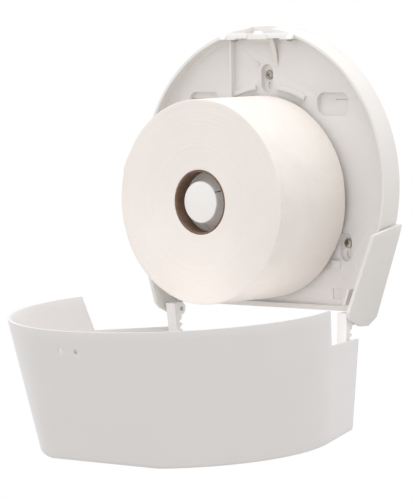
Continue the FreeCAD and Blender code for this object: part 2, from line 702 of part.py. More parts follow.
PIN_START = f"({ARM_INNER} - boss_proud - pin_end)"


def pin_tools(label, radius):
    """Two cylinders on the hinge line, from the arms' inner faces into the cheeks."""
    body = new_body(label, several=True)
    sketch = new_sketch(body, "pin", "YZ_Plane", PIN_START)
    circle(sketch, "-hinge_out", "-hinge_drop", radius)
    mirror(body, [pad(body, sketch, f"{PIN_FAR_END} - {PIN_START}")])
    return body


# Screws, all turned about the Y axis with the head towards the room


def screw(label, head_radius, head_tall, shank_radius, shank_length):
    """A round-headed cross-slot screw, its head's underside at the origin."""
    body = new_body(label)
    profile = new_sketch(body, "profile", "XY_Plane")
    tip = f"{shank_length} - {shank_radius}"
    corners = [("0", f"-{head_tall}"), (f"{head_radius} * 2 / 3", f"-{head_tall}"), (head_radius, f"-{head_tall} / 2"),
               (head_radius, "0"), (shank_radius, "0"), (shank_radius, tip), ("0", shank_length)]
    outline(profile, corners)
    turn(body, profile)
    cross = new_sketch(body, "cross", "XZ_Plane", f"{head_tall} + overrun")
    a, b = "cross_wall / 2", f"{head_radius} / 2"
    quarter = [(a, a), (a, b), (f"-{a}", b), (f"-{a}", a), (f"-{b}", a), (f"-{b}", f"-{a}"),
               (f"-{a}", f"-{a}"), (f"-{a}", f"-{b}"), (a, f"-{b}"), (a, f"-{a}"), (b, f"-{a}"), (b, a)]
    outline(cross, quarter)
    pocket(body, cross, f"overrun + {head_tall} * 2 / 3")
    return body


def small_screws(label, places, turned=0):
    """Assembly screws as separate solids of one node, each with its head's underside at a place
    (x, depth, z). They point at the wall, up where turned by 90 degrees, or away from the wall by 180."""
    copies = []
    for number, (x, depth, z) in enumerate(places):
        copy = screw(f"{label}_{number}", "small_head_radius", "small_head_tall", "small_shank_radius",
                     "small_shank_length")
        copy.Placement.Rotation = FreeCAD.Rotation(FreeCAD.Vector(1, 0, 0), turned)
        place(copy, x, f"-({depth})", z)
        copies.append(copy)
    group = DOC.addObject("Part::Compound", label)
    group.Label = label
    group.Links = copies
    DOC.recompute()
    return group


# Hub, core and roll

HUB_RADIUS = "(core_radius - core_wall - core_clearance)"
ROLL_FRONT = "(roll_rear + roll_width)"
HUB_FRONT = f"({ROLL_FRONT} - hub_inset)"
FLANGE_FRONT = "(floor_front + flange_wall)"


def hub():
    """Hollow hub with a flared front, a shoulder for the roll, a foot, and slits between its wings."""
    body = new_body("hub")
    profile = new_sketch(body, "profile", "XY_Plane")
    start = f"({HUB_FRONT} - hub_edge)"
    widen = f"({HUB_RADIUS} - hub_tip_radius)"
    reach = f"sqrt(hub_flare_radius * hub_flare_radius - (hub_flare_radius - {widen}) * (hub_flare_radius - {widen}))"
    flare_end = f"({start} - {reach})"
    shoulder = "(roll_rear - seat_gap)"
    inner, mouth = f"({HUB_RADIUS} - hub_wall)", "(hub_tip_radius - hub_wall)"
    corners = [("hub_tip_radius", f"-{start}"), (HUB_RADIUS, f"-{flare_end}"), (HUB_RADIUS, f"-{shoulder}"),
               ("shoulder_radius", f"-{shoulder}"), ("shoulder_radius", f"-{shoulder} + shoulder_wall"),
               (HUB_RADIUS, f"-{shoulder} + shoulder_wall"), (HUB_RADIUS, f"-{FLANGE_FRONT}"),
               ("flange_radius", f"-{FLANGE_FRONT}"), ("flange_radius", "-floor_front"), (inner, "-floor_front"),
               (inner, f"-({flare_end} - hub_flare_radius)"), (mouth, f"-{flare_end}"), (mouth, f"-{start}")]
    outline(profile, corners, {0: ("hub_tip_radius + hub_flare_radius", f"-{start}", "hub_flare_radius", -1)})
    turn(body, profile)
    slit = new_sketch(body, "slit", "XZ_Plane", f"{start} + overrun")
    rectangle(slit, "-hub_slit / 2", "hub_slit / 2", "-flange_radius", "-hub_slit_floor")
    polar(body, [pocket(body, slit, "hub_slit_length + overrun")], 3)
    holes = new_sketch(body, "screw_hole", "XZ_Plane", f"{FLANGE_FRONT} + seat_gap")
    circle(holes, "0", "hub_screw_circle", "small_shank_radius")
    polar(body, [pocket(body, holes, "flange_wall + overrun")], 3)
    return body


def hub_cap():
    """Slightly domed disc that closes the hub's front, with a plug that holds its three wings apart."""
    body = new_body("hub_cap")
    profile = new_sketch(body, "profile", "XY_Plane")
    start, plug = f"({HUB_FRONT} - hub_edge)", "(hub_tip_radius - hub_wall)"
    corners = [("0", f"-{HUB_FRONT} - hub_crown"), ("hub_tip_radius - hub_edge / 2", f"-{HUB_FRONT}"),
               ("hub_tip_radius", f"-{HUB_FRONT} + hub_edge / 2"), ("hub_tip_radius", f"-{start}"),
               (plug, f"-{start}"), (plug, f"-{start} + hub_plug"), (f"{plug} - hub_wall", f"-{start} + hub_plug"),
               (f"{plug} - hub_wall", f"-{start}"), ("0", f"-{start}")]
    outline(profile, corners)
    turn(body, profile)
    return body


def ring(label, inner, outer, edge):
    """A plain ring of the roll's width, its outer edges bevelled."""
    body = new_body(label)
    profile = new_sketch(body, "profile", "XY_Plane")
    corners = [(inner, "-roll_rear"), (f"{outer} - {edge}", "-roll_rear"), (outer, f"-roll_rear - {edge}"),
               (outer, f"-{ROLL_FRONT} + {edge}"), (f"{outer} - {edge}", f"-{ROLL_FRONT}"), (inner, f"-{ROLL_FRONT}")]
    outline(profile, corners)
    turn(body, profile)
    return body


# The latch at the top of the back plate


def lock_housing():
    """Hat-shaped channel that guides the latch. To each side a strip runs to a ramp, and behind the
    strip a ledge under the shelf takes a screw."""
    body = new_body("lock_housing")
    plan = new_sketch(body, "plan", "XY_Plane", HOUSING_LOW)
    face, front = "(rim_depth)", "(rim_depth + housing_strip)"
    wall_in, wall_out = "(head_half + slide_gap)", "(head_half + slide_gap + housing_wall)"
    back_in, back_out = "(head_rear - slide_gap)", "(head_rear - slide_gap - housing_wall)"
    lip, lip_rear = f"({wall_in} - lip_reach)", "(head_step + slide_gap)"
    half = [("housing_half", f"-{face}"), ("housing_half", f"-{front}"), (lip, f"-{front}"), (lip, f"-{lip_rear}"),
            (wall_in, f"-{lip_rear}"), (wall_in, f"-{back_in}")]
    back = [(wall_out, f"-{back_out}"), (wall_out, f"-{face}")]
    left = [(f"-{x}", y) for x, y in half]
    outline(plan, half + left[::-1] + [(f"-{x}", y) for x, y in back[::-1]] + back)
    pad(body, plan, "housing_tall")
    ledge = new_sketch(body, "ledge", "XY_Plane", LEDGE_LOW)
    rectangle(ledge, "ledge_inner", "ledge_outer", f"-{front}", "-ledge_rear")
    low = pad(body, ledge, "ledge_wall")
    ramp = new_sketch(body, "ramp", "YZ_Plane", "ramp_inner")
    foot = "(rim_depth + ramp_out)"
    outline(ramp, [("-rim_depth", f"{HOUSING_LOW} + housing_tall"), (f"-{foot}", f"{LEDGE_LOW} + housing_wall"),
                   (f"-{foot}", LEDGE_LOW), ("-rim_depth", LEDGE_LOW)])
    mirror(body, [low, pad(body, ramp, "ramp_width")])
    holes = new_sketch(body, "screw_hole", "XY_Plane", SHELF_LOW)
    circle(holes, "ledge_screw_across", "-ledge_screw_depth", "small_shank_radius")
    mirror(body, [pocket(body, holes, "ledge_wall + overrun")])
    return body


def latch():
    """Sliding head: a wide rear part behind the lips, a narrower nose, and an upright tooth."""
    body = new_body("lock_latch")
    plan = new_sketch(body, "plan", "XY_Plane", HEAD_LOW)
    corners = [("head_half", "-head_rear"), ("-head_half", "-head_rear"), ("-head_half", "-head_step"),
               ("-head_nose_half", "-head_step"), ("-head_nose_half", "-head_front"),
               ("head_nose_half", "-head_front"), ("head_nose_half", "-head_step"), ("head_half", "-head_step")]
    outline(plan, corners)
    pad(body, plan, "head_tall")
    tooth = new_sketch(body, "tooth", "YZ_Plane")
    top = f"({HEAD_LOW} + head_tall)"
    corners = [("-tooth_rear", f"{top} - head_tall / 2"), ("-tooth_rear", f"{top} + tooth_tall"),
               ("-(tooth_rear + tooth_front) / 2", f"{top} + tooth_tall"), ("-tooth_front", top),
               ("-tooth_front", f"{top} - head_tall / 2")]
    outline(tooth, corners)
    pad(body, tooth, "tooth_half * 2", midplane=True)
    return body


def latch_spring():
    """Two sprung legs that curve back from the latch head to their stops, joined by a bridge."""
    body = new_body("lock_spring")
    leg = new_sketch(body, "leg", "YZ_Plane", "leg_across")
    middle, top = "(-leg_rear - leg_lean)", "(-leg_rear - leg_lean - leg_curl)"
    half_way = f"({LEG_FOOT} + leg_length / 2)"
    corners = [("-leg_rear", LEG_FOOT), (middle, half_way), (top, HEAD_LOW), (f"{top} - leg_wall", HEAD_LOW),
               (f"{middle} - leg_wall", half_way), ("-leg_rear - leg_wall", LEG_FOOT)]
    outline(leg, corners)
    mirror(body, [pad(body, leg, "leg_width")])
    bridge = new_sketch(body, "bridge", "XY_Plane", f"{HEAD_LOW} - leg_bridge")
    rectangle(bridge, "-leg_across - leg_width", "leg_across + leg_width", f"{top} - leg_wall", top)
    pad(body, bridge, "leg_bridge")
    return body


def ceiling(depth):
    """Height of the cover's inside at the middle of its round top."""
    return f"({cover_centre_at(depth)} + {cover_radius_at(depth)} - cover_wall)"


def catch():
    """Flat plate screwed inside the cover, stepped up to a hook that snaps over the latch's tooth."""
    body = new_body("cover_catch")
    sketch = new_sketch(body, "profile", "YZ_Plane")
    under = f"({CATCH_SEAT} + tooth_tall + catch_over)"
    hook = f"({CATCH_SEAT} + slide_gap * 2)"
    corners = [("-catch_lip_rear", f"{under} + catch_wall"), ("-catch_turn", f"{under} + catch_wall"),
               ("-catch_turn - catch_wall", CATCH_SEAT), ("-catch_front", CATCH_SEAT),
               ("-catch_front", f"{CATCH_SEAT} - catch_wall"), ("-catch_turn", f"{CATCH_SEAT} - catch_wall"),
               ("-catch_turn + catch_wall", under), ("-catch_lip_rear - catch_lip_wall", under),
               ("-catch_lip_rear - catch_lip_wall", hook), ("-catch_lip_rear", hook)]
    outline(sketch, corners)
    pad(body, sketch, "catch_half * 2", midplane=True)
    holes = new_sketch(body, "screw_holes", "XY_Plane")
    circle(holes, "0", "-catch_rear_screw", "small_shank_radius")
    circle(holes, "0", "-catch_front_screw", "small_shank_radius")
    pocket(body, holes)
    return body


# The cover, its arms and their pins

TAB_FACE = "(cover_depth - cover_wall - boss_length)"
TAB_ACROSS = f"({ARM_INNER} - arm_run_in - tab_width / 2)"
TAB_DROP = "(hinge_drop - (arm_top + tooth_tip_rise) / 2)"


def cover_shell():
    """One moulded shell, open at the rear and the bottom, notched round the cheeks."""
    outer = cover_block("cover_outside", "wall_gap", "cover_depth", "0", "0", "cover_bottom")
    lean_back(outer, "0")
    round_edges(outer, "front_round", lambda box, length: box.YMax < value("bend_setback + overrun - cover_depth")
                and box.ZLength > value("overrun"))
    inner = cover_block("cover_inside", "wall_gap - overrun", "(cover_depth - cover_wall)", "cover_wall",
                        "cover_wall", "cover_bottom + overrun")
    lean_back(inner, "cover_wall")
    shell = boolean("Cut", "open_shell", outer, inner)
    notched = boolean("Cut", "notched_shell", shell, side_prism("notch_prism", NOTCH_PROFILE))
    bosses = new_body("screw_bosses", several=True)
    sketch = new_sketch(bosses, "boss", "XZ_Plane", TAB_FACE)
    circle(sketch, TAB_ACROSS, f"-{TAB_DROP}", "boss_radius")
    mirror(bosses, [pad(bosses, sketch, "boss_length + cover_wall / 2")])
    block = new_body("catch_block")
    sketch = new_sketch(block, "side", "YZ_Plane")
    rear, front = "(catch_rear_screw - small_head_radius * 3 / 2)", "catch_front"
    outline(sketch, [(f"-{rear}", CATCH_SEAT), (f"-{rear}", f"{ceiling(rear)} + cover_wall / 2"),
                     (f"-{front}", f"{ceiling(front)} + cover_wall / 2"), (f"-{front}", CATCH_SEAT)])
    pad(block, sketch, "catch_half * 2", midplane=True)
    bossed = boolean("MultiFuse", "bossed_shell", notched, bosses, block)
    holes = new_body("cover_holes", several=True)
    keys = new_sketch(holes, "keys", "XY_Plane", "cover_front_radius")
    circle(keys, "key_hole_spacing / 2", "-key_hole_depth", "key_hole_radius")
    key_hole = pad(holes, keys, "cover_radius")
    screws = new_sketch(holes, "screws", "XZ_Plane", f"{TAB_FACE} - overrun")
    circle(screws, TAB_ACROSS, f"-{TAB_DROP}", "small_shank_radius")
    screw_hole = pad(holes, screws, "small_shank_length - tab_wall + overrun")
    mirror(holes, [key_hole, screw_hole])
    for name in ("catch_rear_screw", "catch_front_screw"):
        sketch = new_sketch(holes, name, "XY_Plane", f"{CATCH_SEAT} - overrun")
        circle(sketch, "0", f"-{name}", "small_shank_radius")
        pad(holes, sketch, "small_shank_length - catch_wall + overrun")
    return boolean("Cut", "cover_shell", bossed, holes)


def arm(label, side):
    """Hinge arm along the bottom of the cover, its underside cut into tear teeth, its heel square
    above the pin. side is "1" for the right arm and "-1" for the left one."""
    body = new_body(label)

    def across(text):
        return f"({side} * ({text}))" if side == "-1" else f"({text})"

    end = "(cover_depth - cover_wall)"
    plan = new_sketch(body, "plan", "XY_Plane", "-hinge_drop + tooth_tip_rise")
    front_inner = f"{ARM_INNER} - arm_run_in"
    heel = "-hinge_out + arm_boss_radius"
    corners = [(across(ARM_INNER), heel), (across(front_inner), f"-{end}"),
               (across(f"{front_inner} + arm_width"), f"-{end}"), (across(f"{ARM_INNER} + arm_width"), heel)]
    outline(plan, corners if side == "-1" else corners[::-1])
    pad(body, plan, "arm_top - tooth_tip_rise")
    teeth = new_sketch(body, "teeth", "YZ_Plane")
    tip = "(-hinge_drop + tooth_tip_rise - tooth_blunt)"
    first = "(hinge_out + arm_boss_radius + tooth_pitch / 2)"
    count = int(value(f"({end} - {first} - tooth_pitch * 2) / tooth_pitch"))
    corners = []
    for number in range(count):
        corners += [(f"-{first} - {number} * tooth_pitch", tip),
                    (f"-{first} - ({number} + 1 / 2) * tooth_pitch", f"{tip} + tooth_depth")]
    corners += [(f"-{first} - {count} * tooth_pitch", tip), (f"-{first} - {count} * tooth_pitch", f"{tip} - overrun"),
                (f"-{first}", f"{tip} - overrun")]
    outline(teeth, corners)
    pocket(body, teeth)
    boss = new_sketch(body, "boss", "YZ_Plane", across(f"{ARM_INNER} - boss_proud"))
    circle(boss, "-hinge_out", "-hinge_drop", "arm_boss_radius")
    pad(body, boss, "arm_width + boss_proud * 2", reverse=side == "-1")
    tab = new_sketch(body, "tab", "XZ_Plane", f"{TAB_FACE} - tab_wall")
    low, high = "-hinge_drop + tooth_tip_rise", "-hinge_drop + arm_top"
    edges = [across(f"{front_inner} - tab_width"), across(f"{front_inner} + arm_width / 2")]
    rectangle(tab, *(edges if side != "-1" else edges[::-1]), low, high)
    pad(body, tab, "tab_wall")
    bore = new_sketch(body, "bore", "YZ_Plane")
    circle(bore, "-hinge_out", "-hinge_drop", "pin_radius + running_clearance")
    pocket(body, bore)
    hole = new_sketch(body, "screw_hole", "XZ_Plane", f"{TAB_FACE} + seat_gap")
    circle(hole, across(TAB_ACROSS), f"-{TAB_DROP}", "small_shank_radius")
    pocket(body, hole, "tab_wall + overrun")
    return body


def hinge_pin(label, side):
    body = new_body(label)
    sketch = new_sketch(body, "round", "YZ_Plane", f"{side} * {PIN_START}")
    circle(sketch, "-hinge_out", "-hinge_drop", "pin_radius")
    pad(body, sketch, f"{PIN_FAR_END} - {PIN_START}", reverse=side == "-1")
    return body


def swing_open(thing):
    """Turns a closed piece about the hinge line to the open stop."""
    y, z = "(-hinge_out)", "(-hinge_drop)"
    c, s = "cos(open_angle * 1deg)", "sin(open_angle * 1deg)"
    thing.Placement = FreeCAD.Placement(FreeCAD.Vector(), FreeCAD.Rotation(FreeCAD.Vector(1, 0, 0), 1))
    thing.setExpression("Placement.Rotation.Angle", "Sizes.open_angle * 1deg")
    thing.setExpression("Placement.Base.y", bound(f"{y} - ({y} * {c} - {z} * {s})"))
    thing.setExpression("Placement.Base.z", bound(f"{z} - ({y} * {s} + {z} * {c})"))
    DOC.recompute()
    return thing


def build():
    """Makes every piece and returns them by node name."""
    nodes = [back_plate(), hub(), hub_cap(), ring("paper_roll", "core_radius", "roll_radius", "roll_edge"),
             ring("roll_core", "(core_radius - core_wall)", "core_radius", "core_wall / 4"),
             lock_housing(), latch(), latch_spring()]
    for label, (x, z) in zip(("top_wall_screw", "right_wall_screw", "left_wall_screw"), screw_places()):
        fixing = screw(label, "wall_head_radius", "wall_head_tall", "wall_shank_radius", "wall_shank_length")
        place(fixing, x, "-seat_wall", z)
        nodes.append(fixing)
    circle_of_three = [(f"hub_screw_circle * sin({step} * 360deg / 3)", FLANGE_FRONT,
                        f"hub_screw_circle * cos({step} * 360deg / 3)") for step in range(3)]
    nodes.append(small_screws("hub_screws", circle_of_three))
    nodes.append(small_screws("housing_screws", [("ledge_screw_across", "ledge_screw_depth", LEDGE_LOW),
                                                 ("-ledge_screw_across", "ledge_screw_depth", LEDGE_LOW)],
                              turned=90))
    nodes += [hinge_pin("right_hinge_pin", "1"), hinge_pin("left_hinge_pin", "-1")]
    tab = f"({TAB_FACE} - tab_wall)"
    arm_screws = small_screws("arm_screws", [(TAB_ACROSS, tab, f"-{TAB_DROP}"), (f"-{TAB_ACROSS}", tab, f"-{TAB_DROP}")],
                              turned=180)
    under_catch = f"{CATCH_SEAT} - catch_wall"
    catch_screws = small_screws("catch_screws", [("0", "catch_rear_screw", under_catch),
                                                 ("0", "catch_front_screw", under_catch)], turned=90)
    cover_group = [cover_shell(), arm("right_hinge_arm", "1"), arm("left_hinge_arm", "-1"), catch(), arm_screws,
                   catch_screws]
    nodes += [swing_open(piece) for piece in cover_group]
    return nodes


def check(nodes):
    """Stops with a plain message if anything failed without saying so."""
    for thing in DOC.Objects:
        if "Invalid" in thing.State or "Error" in thing.State:
            raise RuntimeError(f"{thing.Label} failed: {thing.State}")
    for node in nodes:
        shape = node.Shape
        if shape.isNull() or not shape.isValid() or not shape.Solids:
            raise RuntimeError(f"{node.Label} has no valid solid")
        box = shape.BoundBox
        print(f"{node.Label:18s} solids {len(shape.Solids)} volume {shape.Volume:10.0f} "
              f"x {box.XMin:7.1f} {box.XMax:7.1f} y {box.YMin:7.1f} {box.YMax:7.1f} z {box.ZMin:7.1f} {box.ZMax:7.1f}")


NODES = build()
DOC.recompute()
check(NODES)
os.makedirs("parts", exist_ok=True)
for node in NODES:
    node.Shape.exportStep(f"parts/{node.Label}.step")
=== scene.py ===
"""Jumbo toilet roll dispenser with its cover hanging open: its shown pieces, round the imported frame.

X runs to the right, -Y out of the wall into the room, +Z up, and the roll turns about the Y axis.
The cover is drawn closed, like the lid of a box, and then turned about its hinge line.
"""

import math

import bmesh
import bpy
from mathutils import Matrix, Vector


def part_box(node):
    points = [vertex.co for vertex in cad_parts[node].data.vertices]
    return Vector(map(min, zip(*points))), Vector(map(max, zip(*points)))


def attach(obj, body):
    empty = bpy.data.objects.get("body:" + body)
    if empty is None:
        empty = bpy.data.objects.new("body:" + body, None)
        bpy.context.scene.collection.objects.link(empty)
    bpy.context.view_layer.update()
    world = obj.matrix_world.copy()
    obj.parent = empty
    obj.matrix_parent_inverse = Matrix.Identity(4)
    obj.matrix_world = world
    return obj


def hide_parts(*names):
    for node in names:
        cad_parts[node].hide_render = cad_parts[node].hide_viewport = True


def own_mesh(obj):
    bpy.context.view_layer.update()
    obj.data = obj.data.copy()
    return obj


bl_info = {
    "name": "Jumbo roll dispenser",
    "version": (1, 0, 0),
    "blender": (4, 5, 0),
    "location": "View3D > Sidebar > Dispenser",
    "description": "Builds a wall-mounted jumbo toilet roll dispenser with its cover hanging open",
    "category": "Add Mesh",
}

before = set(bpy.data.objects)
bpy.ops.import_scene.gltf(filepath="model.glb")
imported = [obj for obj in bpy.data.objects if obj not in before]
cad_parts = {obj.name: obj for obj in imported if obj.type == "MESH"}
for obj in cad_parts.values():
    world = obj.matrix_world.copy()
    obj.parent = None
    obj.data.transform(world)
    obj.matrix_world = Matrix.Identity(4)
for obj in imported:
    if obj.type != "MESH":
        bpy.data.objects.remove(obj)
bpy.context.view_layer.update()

MM = 0.001


# Sizes and colours that a user would change


def length(name, millimetres, description):
    """A length setting, given in millimetres and kept in metres."""
    return bpy.props.FloatProperty(
        name=name, description=description, default=millimetres * MM, unit="LENGTH", precision=4)


def angle(name, degrees, description):
    return bpy.props.FloatProperty(
        name=name, description=description, default=math.radians(degrees), subtype="ANGLE")


def linear(hex_colour):
    """An sRGB hex colour as the linear RGBA that Blender's shaders take."""
    parts = [int(hex_colour[i:i + 2], 16) / 255 for i in (1, 3, 5)]
    return [c / 12.92 if c <= 0.04045 else ((c + 0.055) / 1.055) ** 2.4 for c in parts] + [1.0]


def tint(name, hex_colour, description):
    return bpy.props.FloatVectorProperty(
        name=name, description=description, default=linear(hex_colour), subtype="COLOR", size=4, min=0, max=1)


class DispenserCoverSizes(bpy.types.PropertyGroup):
    """The deep cover, measured closed against the wall."""

    radius: length("Radius", 156.2, "Round top at the wall")
    front_radius: length("Front radius", 137.1, "Round top at the front face")
    depth: length("Depth", 127.8, "From the wall to the front face")
    centre: length("Centre height", 14.6, "Centre of the round top above the roll axis, at the wall")
    front_centre: length("Front centre height", 5.6, "The same centre at the front")
    lean: angle("Side lean", 19.5, "How far the lower sides lean inwards")
    bottom: length("Bottom", 110, "Lower edge below the roll axis")
    wall: length("Wall", 2.8, "Thickness of the moulding")
    gap: length("Wall gap", 1, "Between the closed cover and the wall")
    bend: length("Bend height", 124.1, "Where the front face starts to lean back")
    setback: length("Bend setback", 4.7, "How far the face has leaned back at its top")
    rounding: length("Front rounding", 3.0, "Radius of the edge round the front face")
    hinge_out: length("Hinge out", 21.7, "Hinge line's distance from the wall")
    hinge_drop: length("Hinge drop", 111.1, "Hinge line below the roll axis")
    opening: angle("Opening", 92.8, "How far the cover hangs open")
    key_across: length("Key hole spacing", 18, "Between the two holes for the key")
    key_depth: length("Key hole depth", 19.6, "Key holes' distance from the wall")
    key_radius: length("Key hole radius", 2.0, "Radius of a key hole")
    key_mouth: length("Key hole mouth", 1.8, "How much wider a key hole is on the inside")


class DispenserRollSizes(bpy.types.PropertyGroup):
    """The paper and its core."""

    radius: length("Radius", 96.4, "Outside of the roll")
    core: length("Core radius", 30.25, "Outside of the board core")
    core_wall: length("Core wall", 1.85, "Thickness of the board")
    width: length("Width", 98.9, "Width of the roll")
    rear: length("Rear", 12.6, "The roll's rear end from the wall")
    edge: length("Edge", 0.8, "Rounding of the paper's edge")
    relief: length("Layer relief", 0.25, "How far single layers sink behind others at the ends")
    dents: length("Dents", 0.7, "Depth of the soft dents all round")
    tail: length("Tail lift", 1.1, "How far the paper's loose end stands off")
    tail_at: angle("Tail place", -74, "Where the loose end lies, clockwise from the top")


class DispenserFixingSizes(bpy.types.PropertyGroup):
    """Screws, from their heads' undersides."""

    wall_head: length("Wall screw head", 4.4, "Head radius")
    wall_tall: length("Wall screw head height", 2.6, "Height of the head")
    wall_shank: length("Wall screw shank", 2.2, "Outside of the thread")
    wall_length: length("Wall screw length", 31, "Length under the head")
    wall_pitch: length("Wall screw pitch", 2.0, "From one turn of the thread to the next")
    small_head: length("Small screw head", 3.2, "Head radius")
    small_tall: length("Small screw head height", 2, "Height of the head")
    small_shank: length("Small screw shank", 1.4, "Outside of the thread")
    small_length: length("Small screw length", 6, "Length under the head")
    small_pitch: length("Small screw pitch", 1.1, "From one turn of the thread to the next")
    slot: length("Cross slot", 0.9, "Width of a cross slot's arm")


class DispenserColours(bpy.types.PropertyGroup):
    """Base colours of the finishes."""

    cover: tint("Cover", "#DEDBDA", "Gloss white of the cover")
    tray: tint("Back plate", "#E0DDDA", "White of the back plate")
    hub: tint("Hub", "#E8E5E2", "White of the hub and its disc")
    arm: tint("Arms", "#ECEAE8", "White of the hinge arms")
    spring: tint("Latch legs", "#DDD9D2", "Acetal of the sprung legs")
    paper: tint("Paper", "#EBE4DE", "Tissue")
    board: tint("Board", "#866A57", "Grey-brown core board")
    zinc: tint("Zinc", "#B9B4AA", "Zinc plating")
    pin: tint("Pins", "#B8B8B6", "Bright steel")
    floor: tint("Floor", "#CFCDCA", "Painted studio floor")


# Small tools for nodes, meshes and pieces


def feed(tree, node, links):
    """Sets or links a node's inputs, by name or number."""
    for key, value in links.items():
        if isinstance(value, bpy.types.NodeSocket):
            tree.links.new(value, node.inputs[key])
        else:
            node.inputs[key].default_value = value


def add_node(tree, kind, links=None, **settings):
    """Adds a node, sets its properties, then sets or links its inputs."""
    node = tree.nodes.new(kind)
    for name, value in settings.items():
        setattr(node, name, value)
    feed(tree, node, links or {})
    return node


def maths(tree, operation, *values):
    """The sum, product or other function of sockets and numbers."""
    return add_node(tree, "ShaderNodeMath", dict(enumerate(values)), operation=operation).outputs[0]


def new_tree(name, inputs):
    """A Geometry Nodes tree with inputs given as (name, kind), and its group input's sockets."""
    tree = bpy.data.node_groups.new(name, "GeometryNodeTree")
    for label, kind in inputs:
        tree.interface.new_socket(name=label, in_out="INPUT", socket_type=f"NodeSocket{kind}")
    tree.interface.new_socket(name="Geometry", in_out="OUTPUT", socket_type="NodeSocketGeometry")
    return tree, add_node(tree, "NodeGroupInput").outputs


def close_tree(tree, geometry, material):
    """Ends a tree: its instances are made real and get their finish."""
    real = add_node(tree, "GeometryNodeRealizeInstances", {0: geometry})
    painted = add_node(tree, "GeometryNodeSetMaterial", {"Geometry": real.outputs[0], "Material": material})
    add_node(tree, "NodeGroupOutput", {"Geometry": painted.outputs[0]})


def new_object(name, verts, faces):
    """A mesh object at the origin, its faces turned outwards."""
    mesh = bpy.data.meshes.new(name)
    mesh.from_pydata(verts, [], faces)
    return show(name, mesh, tidy=True)


def show(name, mesh, tidy=False):
    """Links a mesh to the scene. Tidy joins its doubled points and turns its faces outwards."""
    if tidy:
        work = bmesh.new()
        work.from_mesh(mesh)
        bmesh.ops.remove_doubles(work, verts=work.verts, dist=1e-6)
        bmesh.ops.recalc_face_normals(work, faces=work.faces)
        work.to_mesh(mesh)
        work.free()
    piece = bpy.data.objects.new(name, mesh)
    bpy.context.scene.collection.objects.link(piece)
    return piece


def bake(piece):
    """Turns the piece's modifiers into plain mesh."""
    depsgraph = bpy.context.evaluated_depsgraph_get()
    made = bpy.data.meshes.new_from_object(piece.evaluated_get(depsgraph), depsgraph=depsgraph)
    old = piece.data
    piece.modifiers.clear()
    piece.data = made
    bpy.data.meshes.remove(old)


def combine(piece, tool, operation):
    """Cuts the tool out of the piece, or joins it on, and removes the tool."""
    modifier = piece.modifiers.new("Boolean", "BOOLEAN")
    modifier.operation = operation
    modifier.solver = "EXACT"
    modifier.object = tool
    bake(piece)
    bpy.data.objects.remove(tool)


def prism(name, profile, start, end, axis):
    """A straight bar along X or Y. Its outline is in the other two axes, in order."""
    place = {"x": lambda a, b, t: (t, a, b), "y": lambda a, b, t: (a, t, b)}[axis]
    count = len(profile)
    verts = [place(a, b, t) for t in (start, end) for a, b in profile]
    faces = [list(range(count)), list(range(count, 2 * count))]
    faces += [(i, (i + 1) % count, count + (i + 1) % count, count + i) for i in range(count)]
    return new_object(name, verts, faces)


def tube_faces(rings, steps):
    """Faces between one ring of points and the next, where each ring has this many steps."""
    return [(j * steps + i, j * steps + (i + 1) % steps, (j + 1) * steps + (i + 1) % steps, (j + 1) * steps + i)
            for j in range(rings - 1) for i in range(steps)]


def disc_outline(across, up, radius, steps=32):
    """Points round a circle."""
    turns = [math.tau * i / steps for i in range(steps)]
    return [(across + radius * math.cos(turn), up + radius * math.sin(turn)) for turn in turns]


def soften(piece, width, sharper_than=32):
    """Rounds the piece's sharp edges a little, as a mould's corners are."""
    modifier = piece.modifiers.new("Bevel", "BEVEL")
    modifier.width = width
    modifier.segments = 2
    modifier.limit_method = "ANGLE"
    modifier.angle_limit = math.radians(sharper_than)
    modifier.miter_outer = "MITER_ARC"
    bake(piece)


def shade(piece, degrees=35):
    """Shades the piece smooth, apart from edges sharper than this."""
    piece.data.shade_smooth()
    piece.data.set_sharp_from_angle(angle=math.radians(degrees))


def finish_piece(piece, body, slot, material, *stands_for):
    """Gives the piece its finish and its body in the frame."""
    piece.data.materials.clear()
    piece.data.materials.append(material)
    for polygon in piece.data.polygons:
        polygon.material_index = 0
    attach(piece, body)
    if stands_for:
        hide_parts(*stands_for)


def merged_copy(node, name):
    """A copy of a CAD node whose loose triangles are joined into whole faces."""
    mesh = bpy.data.meshes.new(name)
    work = bmesh.new()
    work.from_mesh(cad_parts[node].data)
    bmesh.ops.remove_doubles(work, verts=work.verts, dist=2e-6)
    bmesh.ops.dissolve_limit(work, angle_limit=math.radians(0.6), verts=work.verts, edges=work.edges)
    work.to_mesh(mesh)
    work.free()
    if "custom_normal" in mesh.attributes:
        mesh.attributes.remove(mesh.attributes["custom_normal"])
    return show(name, mesh)


def softened_copy(node, name, width, degrees=32):
    """A CAD node with its mould's edges rounded."""
    piece = merged_copy(node, name)
    soften(piece, width, degrees)
    shade(piece)
    return piece


# Finishes


def new_material(name):
    """An empty material with its output and its main shader."""
    material = bpy.data.materials.new(name)
    material.use_nodes = True
    tree = material.node_tree
    tree.nodes.clear()
    shader = add_node(tree, "ShaderNodeBsdfPrincipled")
    add_node(tree, "ShaderNodeOutputMaterial", {"Surface": shader.outputs[0]})
    return material, tree, shader


def noise(tree, place, pitch, detail=2.0):
    """Noise with features about one pitch across."""
    links = {"Vector": place, "Scale": 1 / pitch, "Detail": detail}
    return add_node(tree, "ShaderNodeTexNoise", links).outputs["Fac"]


def stripes(tree, value, pitch, detail=2.0, roughness=0.5):
    """Noise that changes with one value only."""
    links = {"W": value, "Scale": 1 / pitch, "Detail": detail, "Roughness": roughness}
    return add_node(tree, "ShaderNodeTexNoise", links, noise_dimensions="1D").outputs["Fac"]


def spread(tree, value, low, high, start=0.3, end=0.7):
    """The value's range from start to end, spread over low to high."""
    links = {"Value": value, "From Min": start, "From Max": end, "To Min": low, "To Max": high}
    return add_node(tree, "ShaderNodeMapRange", links).outputs["Result"]


